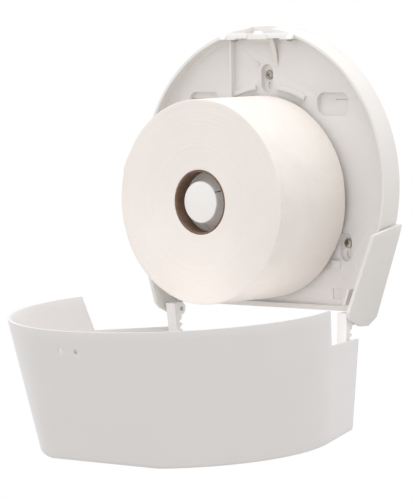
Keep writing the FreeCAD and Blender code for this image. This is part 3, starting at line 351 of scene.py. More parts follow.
def shaded_tone(tree, colour, value, dark):
    """The colour, slightly darker where the value is low."""
    darker = [c * dark for c in colour[:3]] + [1.0]
    links = {"Factor": value, 6: darker, 7: list(colour)}
    return add_node(tree, "ShaderNodeMix", links, data_type="RGBA").outputs[2]


def bump(tree, height, distance, below=None):
    """The surface's direction with a relief, on top of another one where given."""
    links = {"Height": height, "Distance": distance, "Strength": 1.0}
    if below is not None:
        links["Normal"] = below
    return add_node(tree, "ShaderNodeBump", links).outputs["Normal"]


def moulded_plastic(name, colour, roughness, grain, ior=1.54):
    """Injection-moulded white plastic. The mould leaves long soft waves from uneven shrinking, a fine
    grain and faint flow tints, and wiping leaves the gloss slightly uneven."""
    material, tree, shader = new_material(name)
    place = add_node(tree, "ShaderNodeTexCoord").outputs["Object"]
    flow = spread(tree, noise(tree, place, 45 * MM, 3.0), 0, 1)
    wiped = spread(tree, noise(tree, place, 40 * MM, 1.0), roughness - 0.01, roughness + 0.03, 0.0, 1.0)
    waves = bump(tree, noise(tree, place, 60 * MM, 1.0), 0.3 * MM)
    # real grain is 0.1 mm across: drawn at 0.8 mm so that it shows
    fine = bump(tree, noise(tree, place, 0.8 * MM, 3.0), grain, waves)
    feed(tree, shader, {"Base Color": shaded_tone(tree, colour, flow, 0.98), "Roughness": wiped,
                        "Normal": fine, "IOR": ior})
    return material


def tissue_paper(name, colour, sizes):
    """Wound two-ply tissue: its ends show the edges of hundreds of thin layers as fine rings, and its
    outside has the creping's small folds across the web and a soft fluff that takes all gloss away."""
    material, tree, shader = new_material(name)
    place = add_node(tree, "ShaderNodeTexCoord").outputs["Object"]
    parts = add_node(tree, "ShaderNodeSeparateXYZ", {0: place}).outputs
    middle = sizes.rear + sizes.width / 2
    off = maths(tree, "ABSOLUTE", maths(tree, "ADD", parts["Y"], middle))
    at_end = spread(tree, off, 0, 1, sizes.width / 2 - 2 * sizes.edge, sizes.width / 2 - sizes.edge)
    flat = add_node(tree, "ShaderNodeCombineXYZ", {"X": parts["X"], "Y": parts["Z"]}).outputs[0]
    out = add_node(tree, "ShaderNodeVectorMath", {0: flat}, operation="LENGTH").outputs["Value"]
    along = maths(tree, "MULTIPLY", maths(tree, "ARCTAN2", parts["X"], parts["Z"]), sizes.radius)
    # one layer is 0.15 mm thick: the rings are drawn 0.45 mm apart so that they show
    rings = maths(tree, "MULTIPLY", stripes(tree, out, 0.45 * MM), stripes(tree, out, 4 * MM, 3.0))
    faint = maths(tree, "MULTIPLY", rings, 0.35)
    fibres = noise(tree, place, 1.6 * MM, 6.0)
    web = add_node(tree, "ShaderNodeCombineXYZ", {"X": along, "Y": parts["Y"]}).outputs[0]
    # creping folds are 0.3 mm apart: drawn at 1.1 mm so that they show
    folded = add_node(tree, "ShaderNodeMapping", {"Vector": web, "Scale": (1.0, 0.12, 1.0)}).outputs[0]
    crepe = noise(tree, folded, 1.1 * MM, 3.0)
    height = add_node(tree, "ShaderNodeMix", {"Factor": at_end, 2: crepe, 3: faint}).outputs[0]
    pressed = maths(tree, "ADD", faint, noise(tree, place, 70 * MM, 3.0))
    cloudy = noise(tree, place, 30 * MM, 4.0)
    mottle = add_node(tree, "ShaderNodeMix", {"Factor": at_end, 2: cloudy, 3: pressed}).outputs[0]
    tone = spread(tree, mottle, 0, 1, 0.3, 0.75)
    soft = bump(tree, fibres, 0.12 * MM)
    feed(tree, shader, {
        "Base Color": shaded_tone(tree, colour, tone, 0.95), "Normal": bump(tree, height, 0.25 * MM, soft),
        "Roughness": 0.95, "IOR": 1.45, "Specular IOR Level": 0.2,
        "Sheen Weight": 0.15, "Sheen Roughness": 0.6})
    return material


STRIP_WIDTH = 80 * MM  # of the board; the strip climbs by as much in one turn


def wound_board(name, colour):
    """Recycled grey-brown board, wound in a spiral and glued: short dark and light fibres, and a dark
    seam where one strip meets the next."""
    material, tree, shader = new_material(name)
    place = add_node(tree, "ShaderNodeTexCoord").outputs["Object"]
    parts = add_node(tree, "ShaderNodeSeparateXYZ", {0: place}).outputs
    turns = maths(tree, "DIVIDE", maths(tree, "ARCTAN2", parts["X"], parts["Z"]), math.tau)
    spiral = maths(tree, "ADD", maths(tree, "DIVIDE", parts["Y"], STRIP_WIDTH), turns)
    seam = spread(tree, maths(tree, "PINGPONG", spiral, 0.5), 0, 1, 0.0, 0.012)
    fibres = noise(tree, place, 1.2 * MM, 8.0)
    mixed = maths(tree, "MULTIPLY", fibres, noise(tree, place, 9 * MM, 3.0))
    tone = maths(tree, "MULTIPLY", spread(tree, mixed, 0, 1, 0.12, 0.4), seam)
    groove = bump(tree, seam, 0.3 * MM)
    feed(tree, shader, {
        "Base Color": shaded_tone(tree, colour, tone, 0.6), "Normal": bump(tree, fibres, 0.12 * MM, groove),
        "Roughness": 0.85, "IOR": 1.45})
    return material


def plated_steel(name, colour, roughness, patch):
    """Steel with a thin bright plating: cloudy patches from the bath, darker where it is thin, and fine
    marks from rolling and driving."""
    material, tree, shader = new_material(name)
    place = add_node(tree, "ShaderNodeTexCoord").outputs["Object"]
    clouds = spread(tree, noise(tree, place, patch, 4.0), 0, 1)
    fine = noise(tree, place, 0.5 * MM, 4.0)
    feed(tree, shader, {
        "Base Color": shaded_tone(tree, colour, clouds, 0.72), "Normal": bump(tree, fine, 0.03 * MM),
        "Roughness": spread(tree, fine, roughness - 0.08, roughness + 0.15), "Metallic": 1.0})
    return material


def painted_floor(name, colour):
    """Rolled matt floor paint with a faint orange peel."""
    material, tree, shader = new_material(name)
    place = add_node(tree, "ShaderNodeTexCoord").outputs["Object"]
    clouds = noise(tree, place, 400 * MM, 3.0)
    peel = bump(tree, noise(tree, place, 6 * MM, 2.0), 0.2 * MM)
    feed(tree, shader, {
        "Base Color": shaded_tone(tree, colour, clouds, 0.97), "Normal": peel, "Roughness": 0.7})
    return material


# The cover


# How finely the cover is drawn
SIDE_STEPS = 12
SHOULDER_STEPS = 26
TOP_STEPS = 8
DEPTH_STEPS = 14
ROUNDING_STEPS = 6
FACE_COLUMNS = 20
PIN_STEPS = 32

# Over this depth behind the front face its lean dies away
LEAN_FADE = 40 * MM

# Side view of a cheek of the back plate: its top at the wall, and its front's upper and lower end
CHEEK_TOP = -22.8 * MM
CHEEK_BEND = (-33.9 * MM, -31.4 * MM)
CHEEK_FOOT = (-40.2 * MM, -118.6 * MM)
NOTCH_GAP = 0.6 * MM

# What the arms and the catch are screwed to, on the closed cover
BOSS_DROP = 105.75 * MM
BOSS_RADIUS = 4.2 * MM
BOSS_LENGTH = 8 * MM
ARM_TAB = 2.5 * MM
CATCH_DEPTHS = (31.2 * MM, 52 * MM)
CATCH_HALF = 7 * MM
CATCH_SEAT = 155 * MM
CATCH_SCREW_DEPTHS = (36 * MM, 46 * MM)
CATCH_SCREW_HEADS = 152.8 * MM


def hinge_turn(cover, turned):
    """Turns closed pieces about the hinge line."""
    hinge = Vector((0, -cover.hinge_out, -cover.hinge_drop))
    return Matrix.Translation(hinge) @ Matrix.Rotation(turned, 4, "X") @ Matrix.Translation(-hinge)


def round_stations(cover):
    """Places along half the outline, from the right lower corner to the top: a share of the straight
    side, or an angle from the top. One of them is where the front face bends."""
    bend = math.acos((cover.bend - cover.front_centre) / (cover.front_radius - cover.rounding))
    tangent = math.pi / 2 + cover.lean
    sides = [("side", i / SIDE_STEPS) for i in range(SIDE_STEPS)]
    shoulder = [("round", tangent + (bend - tangent) * i / SHOULDER_STEPS) for i in range(SHOULDER_STEPS)]
    top = [("round", bend * (1 - i / TOP_STEPS)) for i in range(TOP_STEPS + 1)]
    return sides + shoulder + top


def outline_point(cover, station, depth, skin):
    """Where a station lies at a depth, inside the cover's outside by a skin."""
    share = depth / cover.depth
    radius = cover.radius + (cover.front_radius - cover.radius) * share - skin
    centre = cover.centre + (cover.front_centre - cover.centre) * share
    kind, value = station
    if kind == "round":
        return radius * math.sin(value), centre + radius * math.cos(value)
    foot = Vector((radius * math.cos(cover.lean), centre - radius * math.sin(cover.lean)))
    low = Vector((foot.x - (foot.y + cover.bottom) * math.tan(cover.lean), -cover.bottom))
    return tuple(low.lerp(foot, value))


def dome_surface(cover, skin):
    """The cover's round side and front face as points and faces, numbered alike for any skin."""
    stations = round_stations(cover)
    front = cover.depth - skin
    rounding = cover.rounding - skin
    face_top = cover.front_centre + cover.front_radius
    slope = cover.setback / (face_top - cover.bend)
    rings = [(cover.gap + (front - rounding - cover.gap) * i / DEPTH_STEPS, 0.0)
             for i in range(DEPTH_STEPS + 1)]
    for i in range(1, ROUNDING_STEPS + 1):
        turn = math.pi / 2 * i / ROUNDING_STEPS
        rings.append((front - rounding + rounding * math.sin(turn), rounding * (1 - math.cos(turn))))
    half = []
    for depth, inset in rings:
        near_face = min(1.0, max(0.0, (depth - front + LEAN_FADE) / (LEAN_FADE - rounding)))
        row = []
        for station in stations:
            across, up = outline_point(cover, station, depth, skin + inset)
            back = slope * max(0.0, up - cover.bend) * near_face
            across, up = outline_point(cover, station, depth - back, skin + inset)
            row.append((across, -(depth - back), up))
        half.append(row)
    rows = [row + [(-x, y, z) for x, y, z in row[-2::-1]] for row in half]
    columns = len(rows[0])
    verts = [point for row in rows for point in row]
    faces = [(j * columns + i, j * columns + i + 1, (j + 1) * columns + i + 1, (j + 1) * columns + i)
             for j in range(len(rows) - 1) for i in range(columns - 1)]

    # the front face: strips from each point of the last row to its mirror image
    last = (len(rows) - 1) * columns
    top = len(stations) - 1
    strips = []
    for i in range(top):
        right, left = Vector(verts[last + i]), Vector(verts[last + columns - 1 - i])
        strip = [last + i]
        for k in range(1, FACE_COLUMNS):
            strip.append(len(verts))
            verts.append(tuple(right.lerp(left, k / FACE_COLUMNS)))
        strips.append(strip + [last + columns - 1 - i])
    for lower, upper in zip(strips, strips[1:]):
        faces += [(lower[k], lower[k + 1], upper[k + 1], upper[k]) for k in range(FACE_COLUMNS)]
    faces += [(strips[-1][k], strips[-1][k + 1], last + top) for k in range(FACE_COLUMNS)]
    return verts, faces


def lone_edges(faces):
    """Edges that only one face has, each in that face's direction."""
    seen = {}
    for face in faces:
        for a, b in zip(face, face[1:] + face[:1]):
            seen.setdefault(frozenset((a, b)), []).append((a, b))
    return [uses[0] for uses in seen.values() if len(uses) == 1]


def notch_outline(grow):
    """Side view of the notches, which follow the cheeks' top and front with a gap and run out below."""
    (front, bend), (foot, low) = CHEEK_BEND, CHEEK_FOOT
    return [(2 * grow, CHEEK_TOP + grow), (front - grow, bend + grow), (foot - grow, low), (2 * grow, low)]


def arm_screw_across(fixings):
    """How far the arms' screws lie from the middle."""
    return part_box("arm_screws")[1].x - fixings.small_head


def outside_top(cover, depth):
    """Height of the closed cover's outside over the middle, at a depth."""
    return outline_point(cover, ("round", 0.0), depth, 0.0)[1]


def key_cutter(cover, across):
    """A pin that widens towards the inside, which leaves a key hole with a flared mouth."""
    top = outside_top(cover, cover.key_depth)
    levels = [(top + cover.wall, cover.key_radius), (top - cover.wall / 6, cover.key_radius),
              (top - cover.wall * 2, cover.key_radius + cover.key_mouth * 2)]
    steps = PIN_STEPS
    verts = [(x, y, up) for up, radius in levels
             for x, y in disc_outline(across, -cover.key_depth, radius, steps)]
    faces = [list(range(steps)), list(range(2 * steps, 3 * steps))] + tube_faces(3, steps)
    return new_object("key_hole", verts, faces)


class DISPENSER_OT_cover(bpy.types.Operator):
    """Moulds the deep cover with its notches, key holes and inside bosses, and hangs it open"""

    bl_idname = "dispenser.cover"
    bl_label = "Cover"

    def execute(self, context):
        cover = context.scene.dispenser_cover
        outer, faces = dome_surface(cover, 0.0)
        inner, _ = dome_surface(cover, cover.wall)
        count = len(outer)
        rims = [(a, b, b + count, a + count) for a, b in lone_edges(faces)]
        inside = [tuple(i + count for i in reversed(face)) for face in faces]
        piece = new_object("moulded_cover", outer + inner, faces + inside + rims)

        reach = cover.radius * 1.2
        combine(piece, prism("notches", notch_outline(NOTCH_GAP), -reach, reach, "x"), "DIFFERENCE")
        seat = [(-depth, CATCH_SEAT) for depth in CATCH_DEPTHS]
        seat += [(-depth, outside_top(cover, depth) - cover.wall / 2) for depth in reversed(CATCH_DEPTHS)]
        combine(piece, prism("catch_block", seat, -CATCH_HALF, CATCH_HALF, "x"), "UNION")
        across = arm_screw_across(context.scene.dispenser_fixings)
        foot = cover.depth - cover.wall - BOSS_LENGTH
        for side in (1, -1):
            combine(piece, key_cutter(cover, side * cover.key_across / 2), "DIFFERENCE")
            boss = disc_outline(side * across, -BOSS_DROP, BOSS_RADIUS)
            combine(piece, prism("boss", boss, -foot, -(cover.depth - cover.wall / 2), "y"), "UNION")
        soften(piece, 0.5 * MM, 50)
        piece.data.transform(hinge_turn(cover, cover.opening))
        shade(piece, 30)
        colour = context.scene.dispenser_colours.cover
        gloss = moulded_plastic("gloss moulded ABS, cover", colour, 0.28, 0.003 * MM)
        finish_piece(piece, "cover", "cover_plastic", gloss, "cover_shell")
        return {"FINISHED"}


# The paper roll and its core


ROLL_STEPS = 216
SECTION_STEP = 1.1 * MM
TAIL_RUN = 26 * MM  # how far round the loose end stands off


def roll_tree():
    """Sweeps the roll's square section round its axis, then lets single layers sink at the ends, dents
    the outside softly and lifts the paper's loose end."""
    numbers = ("Radius", "Core radius", "Width", "Rear", "Edge", "Layer relief", "Dents", "Tail lift",
               "Tail place", "Seed")
    tree, given = new_tree("Wound roll", [(name, "Float") for name in numbers] + [("Material", "Material")])
    radius, core, edge, relief = given["Radius"], given["Core radius"], given["Edge"], given["Layer relief"]

    def calc(operation, *values):
        return maths(tree, operation, *values)

    def ramp(value, low, high, start, end, kind="LINEAR"):
        links = {"Value": value, "From Min": start, "From Max": end, "To Min": low, "To Max": high}
        return add_node(tree, "ShaderNodeMapRange", links, interpolation_type=kind).outputs["Result"]

    def cloud(place, pitch, detail):
        links = {"Vector": place, "W": given["Seed"], "Scale": 1 / pitch, "Detail": detail}
        return add_node(tree, "ShaderNodeTexNoise", links, noise_dimensions="4D").outputs["Fac"]

    thickness = calc("SUBTRACT", radius, core)
    mean = calc("DIVIDE", calc("ADD", radius, core), 2.0)
    section = add_node(tree, "GeometryNodeCurvePrimitiveQuadrilateral",
                       {"Width": thickness, "Height": given["Width"]}, mode="RECTANGLE")
    rounded = add_node(tree, "GeometryNodeFilletCurve",
                       {"Curve": section.outputs[0], "Radius": edge, "Count": 3}, mode="POLY")
    fine = add_node(tree, "GeometryNodeResampleCurve",
                    {"Curve": rounded.outputs[0], "Length": SECTION_STEP}, mode="LENGTH")
    circle = add_node(tree, "GeometryNodeCurvePrimitiveCircle", {"Resolution": ROLL_STEPS, "Radius": mean})
    upright = add_node(tree, "GeometryNodeSetCurveNormal", {"Curve": circle.outputs[0]}, mode="Z_UP")
    swept = add_node(tree, "GeometryNodeCurveToMesh",
                     {"Curve": upright.outputs[0], "Profile Curve": fine.outputs[0]})
    half = calc("DIVIDE", given["Width"], 2.0)
    middle = calc("MULTIPLY", calc("ADD", given["Rear"], half), -1.0)
    shift = add_node(tree, "ShaderNodeCombineXYZ", {"Y": middle}).outputs[0]
    laid = add_node(tree, "GeometryNodeTransform",
                    {"Geometry": swept.outputs[0], "Translation": shift, "Rotation": (math.pi / 2, 0, 0)})

    at = add_node(tree, "GeometryNodeInputPosition").outputs[0]
    parts = add_node(tree, "ShaderNodeSeparateXYZ", {0: at}).outputs
    flat = add_node(tree, "ShaderNodeCombineXYZ", {"X": parts["X"], "Z": parts["Z"]}).outputs[0]
    out = add_node(tree, "ShaderNodeVectorMath", {0: flat}, operation="LENGTH").outputs["Value"]
    outwards = add_node(tree, "ShaderNodeVectorMath", {0: flat}, operation="NORMALIZE").outputs[0]
    off = calc("SUBTRACT", parts["Y"], middle)

    # layers at the ends, apart from the edges and from next to the core
    end = calc("SUBTRACT", half, edge)
    at_end = ramp(calc("ABSOLUTE", off), 0.0, 1.0, end, calc("ADD", end, calc("MULTIPLY", edge, 0.9)))
    clear_of_core = ramp(out, 0.0, 1.0, core, calc("ADD", core, 2 * MM))
    layers = stripes(tree, calc("ADD", out, given["Seed"]), 2.2 * MM, 4.0, 0.7)
    sunk = calc("MULTIPLY", ramp(layers, 0.0, 0.7, 0.3, 0.75), relief)
    sunk = calc("ADD", sunk, calc("MULTIPLY", ramp(cloud(at, 55 * MM, 2.0), 0.0, 0.6, 0.35, 0.7), relief))
    sunk = calc("MULTIPLY", calc("MULTIPLY", sunk, at_end), clear_of_core)
    inwards = calc("MULTIPLY", calc("SIGN", off), calc("MULTIPLY", sunk, -1.0))
    along = add_node(tree, "ShaderNodeCombineXYZ", {"Y": inwards}).outputs[0]

    # dents and the loose end on the outside
    outside = ramp(out, 0.0, 1.0, calc("SUBTRACT", radius, calc("MULTIPLY", edge, 1.5)),
                   calc("SUBTRACT", radius, calc("MULTIPLY", edge, 0.5)))
    dented = calc("MULTIPLY", ramp(cloud(at, 34 * MM, 3.0), 0.0, 1.0, 0.4, 0.75, "SMOOTHSTEP"), given["Dents"])
    bearing = calc("ARCTAN2", parts["X"], parts["Z"])
    past = calc("WRAP", calc("SUBTRACT", bearing, given["Tail place"]), math.tau, 0.0)
    past = calc("MULTIPLY", past, radius)
    lifted = calc("MULTIPLY", ramp(past, 1.0, 0.0, 0.0, TAIL_RUN, "SMOOTHSTEP"), given["Tail lift"])
    push = calc("MULTIPLY", outside, calc("SUBTRACT", lifted, dented))
    across = add_node(tree, "ShaderNodeVectorMath", {0: outwards, "Scale": push}, operation="SCALE").outputs[0]
    move = add_node(tree, "ShaderNodeVectorMath", {0: across, 1: along}, operation="ADD").outputs[0]
    moved = add_node(tree, "GeometryNodeSetPosition", {"Geometry": laid.outputs[0], "Offset": move})
    close_tree(tree, moved.outputs[0], given["Material"])
    return tree


def run_tree(piece, tree, values):
    """Runs a Geometry Nodes tree on the piece with named inputs, and keeps the result as plain mesh."""
    modifier = piece.modifiers.new(tree.name, "NODES")
    modifier.node_group = tree
    for socket in tree.interface.items_tree:
        if socket.in_out == "INPUT" and socket.name in values:
            modifier[socket.identifier] = values[socket.name]
    bake(piece)


class DISPENSER_OT_paper_roll(bpy.types.Operator):
    """Winds the jumbo roll of tissue"""

    bl_idname = "dispenser.paper_roll"
    bl_label = "Paper roll"

    def execute(self, context):
        sizes = context.scene.dispenser_roll
        paper = tissue_paper("wound tissue paper", context.scene.dispenser_colours.paper, sizes)
        piece = show("tissue_roll", bpy.data.meshes.new("tissue_roll"))
        run_tree(piece, roll_tree(), {
            "Radius": sizes.radius, "Core radius": sizes.core, "Width": sizes.width, "Rear": sizes.rear,
            "Edge": sizes.edge, "Layer relief": sizes.relief, "Dents": sizes.dents, "Tail lift": sizes.tail,
            "Tail place": sizes.tail_at, "Seed": 3.0, "Material": paper})
        shade(piece, 50)
        finish_piece(piece, "roll", "tissue_paper", paper, "paper_roll")
        return {"FINISHED"}


class DISPENSER_OT_core(bpy.types.Operator):
    """Winds the board core, its front cut end slightly frayed"""

    bl_idname = "dispenser.core"
    bl_label = "Board core"

    def execute(self, context):
        sizes = context.scene.dispenser_roll
        rear, front = -sizes.rear, -(sizes.rear + sizes.width)
        inner, outer = sizes.core - sizes.core_wall, sizes.core
        soft = sizes.core_wall / 4
        section = [(inner + soft, rear), (outer - soft, rear), (outer, rear - soft), (outer, front + soft),
                   (outer - soft, front), (inner + soft, front), (inner, front + soft), (inner, rear - soft)]
        steps = 128
        fray = 0.12 * MM
        verts, faces = [], []
        for i in range(steps):
            turn = math.tau * i / steps
            frayed = fray * (math.sin(7 * turn) * math.sin(31 * turn) + 1)
            for radius, y in section:
                cut = frayed if y < front + 2 * soft else 0.0
                verts.append((radius * math.sin(turn), y + cut, radius * math.cos(turn)))
        count = len(section)
        for i in range(steps):
            j = (i + 1) % steps
            faces += [(i * count + k, j * count + k, j * count + (k + 1) % count, i * count + (k + 1) % count)
                      for k in range(count)]
        piece = new_object("board_core", verts, faces)
        shade(piece, 40)
        board = wound_board("spiral-wound core board", context.scene.dispenser_colours.board)
        finish_piece(piece, "roll", "core_cardboard", board, "roll_core")
        return {"FINISHED"}


# The pieces on the wall


class DISPENSER_OT_back_plate(bpy.types.Operator):
    """Rounds the mould's edges on the back plate"""

    bl_idname = "dispenser.back_plate"
    bl_label = "Back plate"

    def execute(self, context):
        piece = softened_copy("back_plate", "moulded_tray", 0.5 * MM)
        colour = context.scene.dispenser_colours.tray
        white = moulded_plastic("satin moulded ABS, back plate", colour, 0.34, 0.005 * MM)
        finish_piece(piece, "base", "tray_plastic", white, "back_plate")
        return {"FINISHED"}


class DISPENSER_OT_hub(bpy.types.Operator):
    """Finishes the hub and the disc that closes its front"""

    bl_idname = "dispenser.hub"
    bl_label = "Hub"

    def execute(self, context):
        white = moulded_plastic("satin moulded ABS, hub", context.scene.dispenser_colours.hub, 0.32, 0.004 * MM)
        for node, name in (("hub", "winged_hub"), ("hub_cap", "hub_disc")):
            piece = softened_copy(node, name, 0.3 * MM)
            finish_piece(piece, "base", "hub_plastic", white, node)
        return {"FINISHED"}


class DISPENSER_OT_lock(bpy.types.Operator):
    """Finishes the latch, its guide and sprung legs, and the cover's catch"""

    bl_idname = "dispenser.lock"
    bl_label = "Lock"

    def execute(self, context):
        colours = context.scene.dispenser_colours
        white = moulded_plastic("satin moulded ABS, lock", colours.arm, 0.3, 0.004 * MM)
        acetal = moulded_plastic("moulded acetal, latch legs", colours.spring, 0.45, 0.005 * MM, 1.48)
        for node, name, body, slot, finish in (
                ("lock_housing", "latch_guide", "base", "lock_plastic", white),
                ("lock_latch", "latch_head", "latch", "lock_plastic", white),
                ("lock_spring", "latch_legs", "base", "spring_plastic", acetal),
                ("cover_catch", "catch_hook", "cover", "lock_plastic", white)):
            piece = softened_copy(node, name, 0.25 * MM)
            finish_piece(piece, body, slot, finish, node)
            if node == "lock_spring":
                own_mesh(piece)
        return {"FINISHED"}


class DISPENSER_OT_arms(bpy.types.Operator):
    """Finishes the two hinge arms with their tear teeth, and their pins"""

    bl_idname = "dispenser.arms"
    bl_label = "Hinge arms and pins"

    def execute(self, context):
        colours = context.scene.dispenser_colours
        white = moulded_plastic("satin moulded ABS, arms", colours.arm, 0.3, 0.004 * MM)
        steel = plated_steel("bright drawn steel, pins", colours.pin, 0.25, 3 * MM)
        for side in ("right", "left"):
            toothed = softened_copy(f"{side}_hinge_arm", f"tear_arm_{side}", 0.3 * MM)
            finish_piece(toothed, "cover", "arm_plastic", white, f"{side}_hinge_arm")
            pin = softened_copy(f"{side}_hinge_pin", f"pin_{side}", 0.25 * MM, 50)
            finish_piece(pin, "base", "pin_steel", steel, f"{side}_hinge_pin")
        return {"FINISHED"}


# Screws


SCREW_STEPS = 24
THREAD_RINGS = 8  # in one turn of the thread
BRIM = 0.35  # share of the head's height below its dome


def screw_mesh(name, head, tall, shank, under, pitch, slot):
    """A round-headed cross-slot screw with its real thread, pointing along +Y from its head's underside."""
    steps = SCREW_STEPS
    rings = [(0.0, -tall)]
    rings += [(head * math.sin(math.radians(a)), -tall * (BRIM + (1 - BRIM) * math.cos(math.radians(a))))
              for a in (15, 30, 45, 60, 75, 90)]
    rings += [(head, -0.08 * tall), (head * 0.96, 0.0), (shank * 0.75, 0.0)]
    count = int(under / pitch * THREAD_RINGS)
    rings += [("thread", under * (i + 1) / count) for i in range(count)]
    rings.append((0.0, under))
    verts = []
    for radius, y in rings:
        for i in range(steps):
            turn = i / steps
            out = radius
            if radius == "thread":
                phase = (y / pitch - turn) % 1.0
                ridge = max(0.0, 1 - abs(phase - 0.5) * 4)
                point = min(1.0, (under - y) / (shank * 2.2) + 0.12)
                out = shank * point * (0.75 + 0.25 * ridge * min(1.0, y / pitch))
            verts.append((out * math.cos(math.tau * turn), y, out * math.sin(math.tau * turn)))
    piece = new_object(name, verts, tube_faces(len(rings), steps))
    arm = head * 0.55
    for wide, high in ((arm, slot / 2), (slot / 2, arm)):
        plan = [(wide, high), (-wide, high), (-wide, -high), (wide, -high)]
        combine(piece, prism("slot", plan, -tall * 1.5, -tall * BRIM, "y"), "DIFFERENCE")
    return piece


def screw_tree():
    """Puts a screw on each point, turned as the point says, with its cross at its own angle."""
    tree, given = new_tree("Screws on points", [
        ("Places", "Geometry"), ("Screw", "Object"), ("Seed", "Int"), ("Material", "Material")])
    screw = add_node(tree, "GeometryNodeObjectInfo", {"Object": given["Screw"]})
    turned = add_node(tree, "GeometryNodeInputNamedAttribute", {"Name": "turn"}, data_type="FLOAT_VECTOR")
    turned = add_node(tree, "FunctionNodeEulerToRotation", {0: turned.outputs[0]})
    chance = add_node(tree, "FunctionNodeRandomValue",
                      {2: 0.0, 3: math.pi / 2, "Seed": given["Seed"]}, data_type="FLOAT")
    own = add_node(tree, "ShaderNodeCombineXYZ", {"Y": chance.outputs[1]})
    own = add_node(tree, "FunctionNodeEulerToRotation", {0: own.outputs[0]})
    both = add_node(tree, "FunctionNodeRotateRotation",
                    {0: turned.outputs[0], 1: own.outputs[0]}, rotation_space="LOCAL")
    placed = add_node(tree, "GeometryNodeInstanceOnPoints", {
        "Points": given["Places"], "Instance": screw.outputs["Geometry"], "Rotation": both.outputs[0]})
    close_tree(tree, placed.outputs[0], given["Material"])
    return tree


def centre_of(node):
    """The middle of a CAD node's box."""
    low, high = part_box(node)
    return (low + high) / 2


def screws_on(name, places, screw, tree, material, body, slot, stands_for):
    """One object with a screw at each (place, turn about X)."""
    points = bpy.data.meshes.new(name)
    points.from_pydata([place for place, _ in places], [], [])
    turns = points.attributes.new("turn", "FLOAT_VECTOR", "POINT")
    for i, (_, turn) in enumerate(places):
        turns.data[i].vector = (turn, 0, 0)
    piece = show(name, points)
    run_tree(piece, tree, {"Screw": screw, "Seed": 4, "Material": material})
    shade(piece, 40)
    finish_piece(piece, body, slot, material, *stands_for)


class DISPENSER_OT_screws(bpy.types.Operator):
    """Drives the wall screws and the small assembly screws"""

    bl_idname = "dispenser.screws"
    bl_label = "Screws"

    def execute(self, context):
        sizes, colours = context.scene.dispenser_fixings, context.scene.dispenser_colours
        cover = context.scene.dispenser_cover
        tree = screw_tree()
        zinc = plated_steel("zinc-plated steel, wall screws", colours.zinc, 0.38, 2 * MM)
        small_zinc = plated_steel("zinc-plated steel, small screws", colours.zinc, 0.32, 1.2 * MM)
        large = screw_mesh("large_screw", sizes.wall_head, sizes.wall_tall, sizes.wall_shank,
                           sizes.wall_length, sizes.wall_pitch, sizes.slot)
        small = screw_mesh("small_screw", sizes.small_head, sizes.small_tall, sizes.small_shank,
                           sizes.small_length, sizes.small_pitch, sizes.slot)

        wall = []
        for side in ("top", "right", "left"):
            middle = centre_of(f"{side}_wall_screw")
            head_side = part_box(f"{side}_wall_screw")[0].y + sizes.wall_tall
            wall.append(((middle.x, head_side, middle.z), 0.0))
        screws_on("wall_fixings", wall, large, tree, zinc, "base", "zinc_steel",
                  ("top_wall_screw", "right_wall_screw", "left_wall_screw"))

        low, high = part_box("hub_screws")
        circle = high.z - sizes.small_head
        hub_seat = low.y + sizes.small_tall
        turns = [step * math.tau / 3 for step in range(3)]
        base = [((circle * math.sin(turn), hub_seat, circle * math.cos(turn)), 0.0) for turn in turns]
        low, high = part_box("housing_screws")
        for side in (1, -1):
            place = (side * (high.x - sizes.small_head), (low.y + high.y) / 2, low.z + sizes.small_tall)
            base.append((place, math.pi / 2))
        screws_on("tray_fixings", base, small, tree, small_zinc, "base", "small_screw_steel",
                  ("hub_screws", "housing_screws"))

        opened = hinge_turn(cover, cover.opening)
        seat = cover.depth - cover.wall - BOSS_LENGTH - ARM_TAB
        across = arm_screw_across(sizes)
        swung = [((side * across, -seat, -BOSS_DROP), math.pi) for side in (1, -1)]
        swung += [((0, -depth, CATCH_SCREW_HEADS), math.pi / 2) for depth in CATCH_SCREW_DEPTHS]
        swung = [(tuple(opened @ Vector(place)), turn + cover.opening) for place, turn in swung]
        screws_on("cover_fixings", swung, small, tree, small_zinc, "cover", "small_screw_steel",
                  ("arm_screws", "catch_screws"))
        bpy.data.objects.remove(large)
        bpy.data.objects.remove(small)
        return {"FINISHED"}


# Stage


def soft_light(name, place, target, across, watts):
    """A square light that faces its target."""
    light = bpy.data.lights.new(name, "AREA")
    light.size = across
    light.energy = watts
    lamp = bpy.data.objects.new(name, light)
    lamp.location = place
    lamp.rotation_euler = (Vector(target) - Vector(place)).to_track_quat("-Z", "Y").to_euler()
    bpy.context.scene.collection.objects.link(lamp)


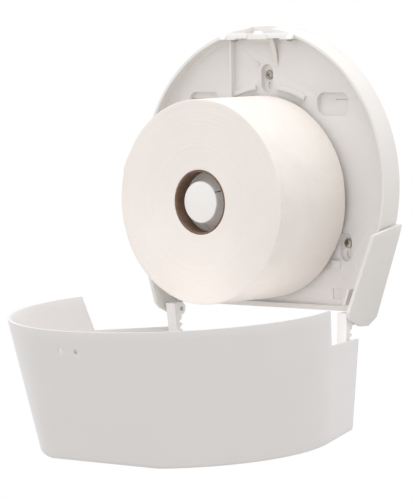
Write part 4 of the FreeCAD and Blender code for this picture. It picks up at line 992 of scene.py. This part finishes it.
class DISPENSER_OT_stage(bpy.types.Operator):
    """Sets the floor, the soft lights and the camera"""

    bl_idname = "dispenser.stage"
    bl_label = "Stage"

    def execute(self, context):
        scene = context.scene
        steps, radius, height = 96, 1.6, -0.62
        rim = [(x, y, height) for x, y in disc_outline(0, 0, radius, steps)]
        floor = show("floor", bpy.data.meshes.new("floor"))
        floor.data.from_pydata(rim, [], [list(range(steps))])
        floor.data.materials.append(painted_floor("matt floor paint", scene.dispenser_colours.floor))

        world = bpy.data.worlds.new("white studio")
        world.use_nodes = True
        feed(world.node_tree, world.node_tree.nodes["Background"], {"Color": (1, 1, 1, 1), "Strength": 1.0})
        scene.world = world
        scene.view_settings.view_transform = "Standard"
        soft_light("overhead", (0.1, -0.35, 1.6), (0, -0.2, 0), 1.0, 12)
        # two small lights inside the open cover stand in for what its bright walls throw back
        soft_light("bounce_left", (0.03, -0.23, -0.125), (-0.14, -0.15, -0.12), 0.08, 0.06)
        soft_light("bounce_right", (0.09, -0.11, -0.135), (0.1, 0, -0.04), 0.06, 0.02)

        # the photo's camera, worked out from the roll's ellipses, the back plate and the cover's rim
        lens = bpy.data.cameras.new("photo camera")
        lens.sensor_fit = "VERTICAL"
        lens.sensor_height = 36
        lens.lens = 232.02
        lens.clip_end = 50
        camera = bpy.data.objects.new("photo camera", lens)
        camera.location = (1.906058, -2.425228, 0.175651)
        camera.rotation_euler = [math.radians(a) for a in (85.7960, 0.88046, 39.30396)]
        scene.collection.objects.link(camera)
        scene.camera = camera
        return {"FINISHED"}


class DISPENSER_PT_panel(bpy.types.Panel):
    """Sizes, colours and the pieces' buttons"""

    bl_label = "Jumbo roll dispenser"
    bl_idname = "DISPENSER_PT_panel"
    bl_space_type = "VIEW_3D"
    bl_region_type = "UI"
    bl_category = "Dispenser"

    def draw(self, context):
        for title, name in (("Cover", "dispenser_cover"), ("Roll", "dispenser_roll"),
                            ("Screws", "dispenser_fixings"), ("Colours", "dispenser_colours")):
            box = self.layout.box()
            box.label(text=title)
            group = getattr(context.scene, name)
            for setting in group.bl_rna.properties:
                if setting.identifier not in ("rna_type", "name"):
                    box.prop(group, setting.identifier)
        for operator in OPERATORS:
            self.layout.operator(operator.bl_idname)


GROUPS = {"dispenser_cover": DispenserCoverSizes, "dispenser_roll": DispenserRollSizes,
          "dispenser_fixings": DispenserFixingSizes, "dispenser_colours": DispenserColours}
OPERATORS = (DISPENSER_OT_stage, DISPENSER_OT_back_plate, DISPENSER_OT_hub, DISPENSER_OT_core,
             DISPENSER_OT_paper_roll, DISPENSER_OT_lock, DISPENSER_OT_cover, DISPENSER_OT_arms,
             DISPENSER_OT_screws)


def register():
    for kind in (*GROUPS.values(), *OPERATORS, DISPENSER_PT_panel):
        bpy.utils.register_class(kind)
    for name, group in GROUPS.items():
        setattr(bpy.types.Scene, name, bpy.props.PointerProperty(type=group))


def unregister():
    for name in GROUPS:
        delattr(bpy.types.Scene, name)
    for kind in (DISPENSER_PT_panel, *reversed(OPERATORS), *GROUPS.values()):
        bpy.utils.unregister_class(kind)


def main():
    """Builds everything."""
    register()
    for operator in OPERATORS:
        group, name = operator.bl_idname.split(".")
        getattr(getattr(bpy.ops, group), name)()


if __name__ == "__main__":
    main()
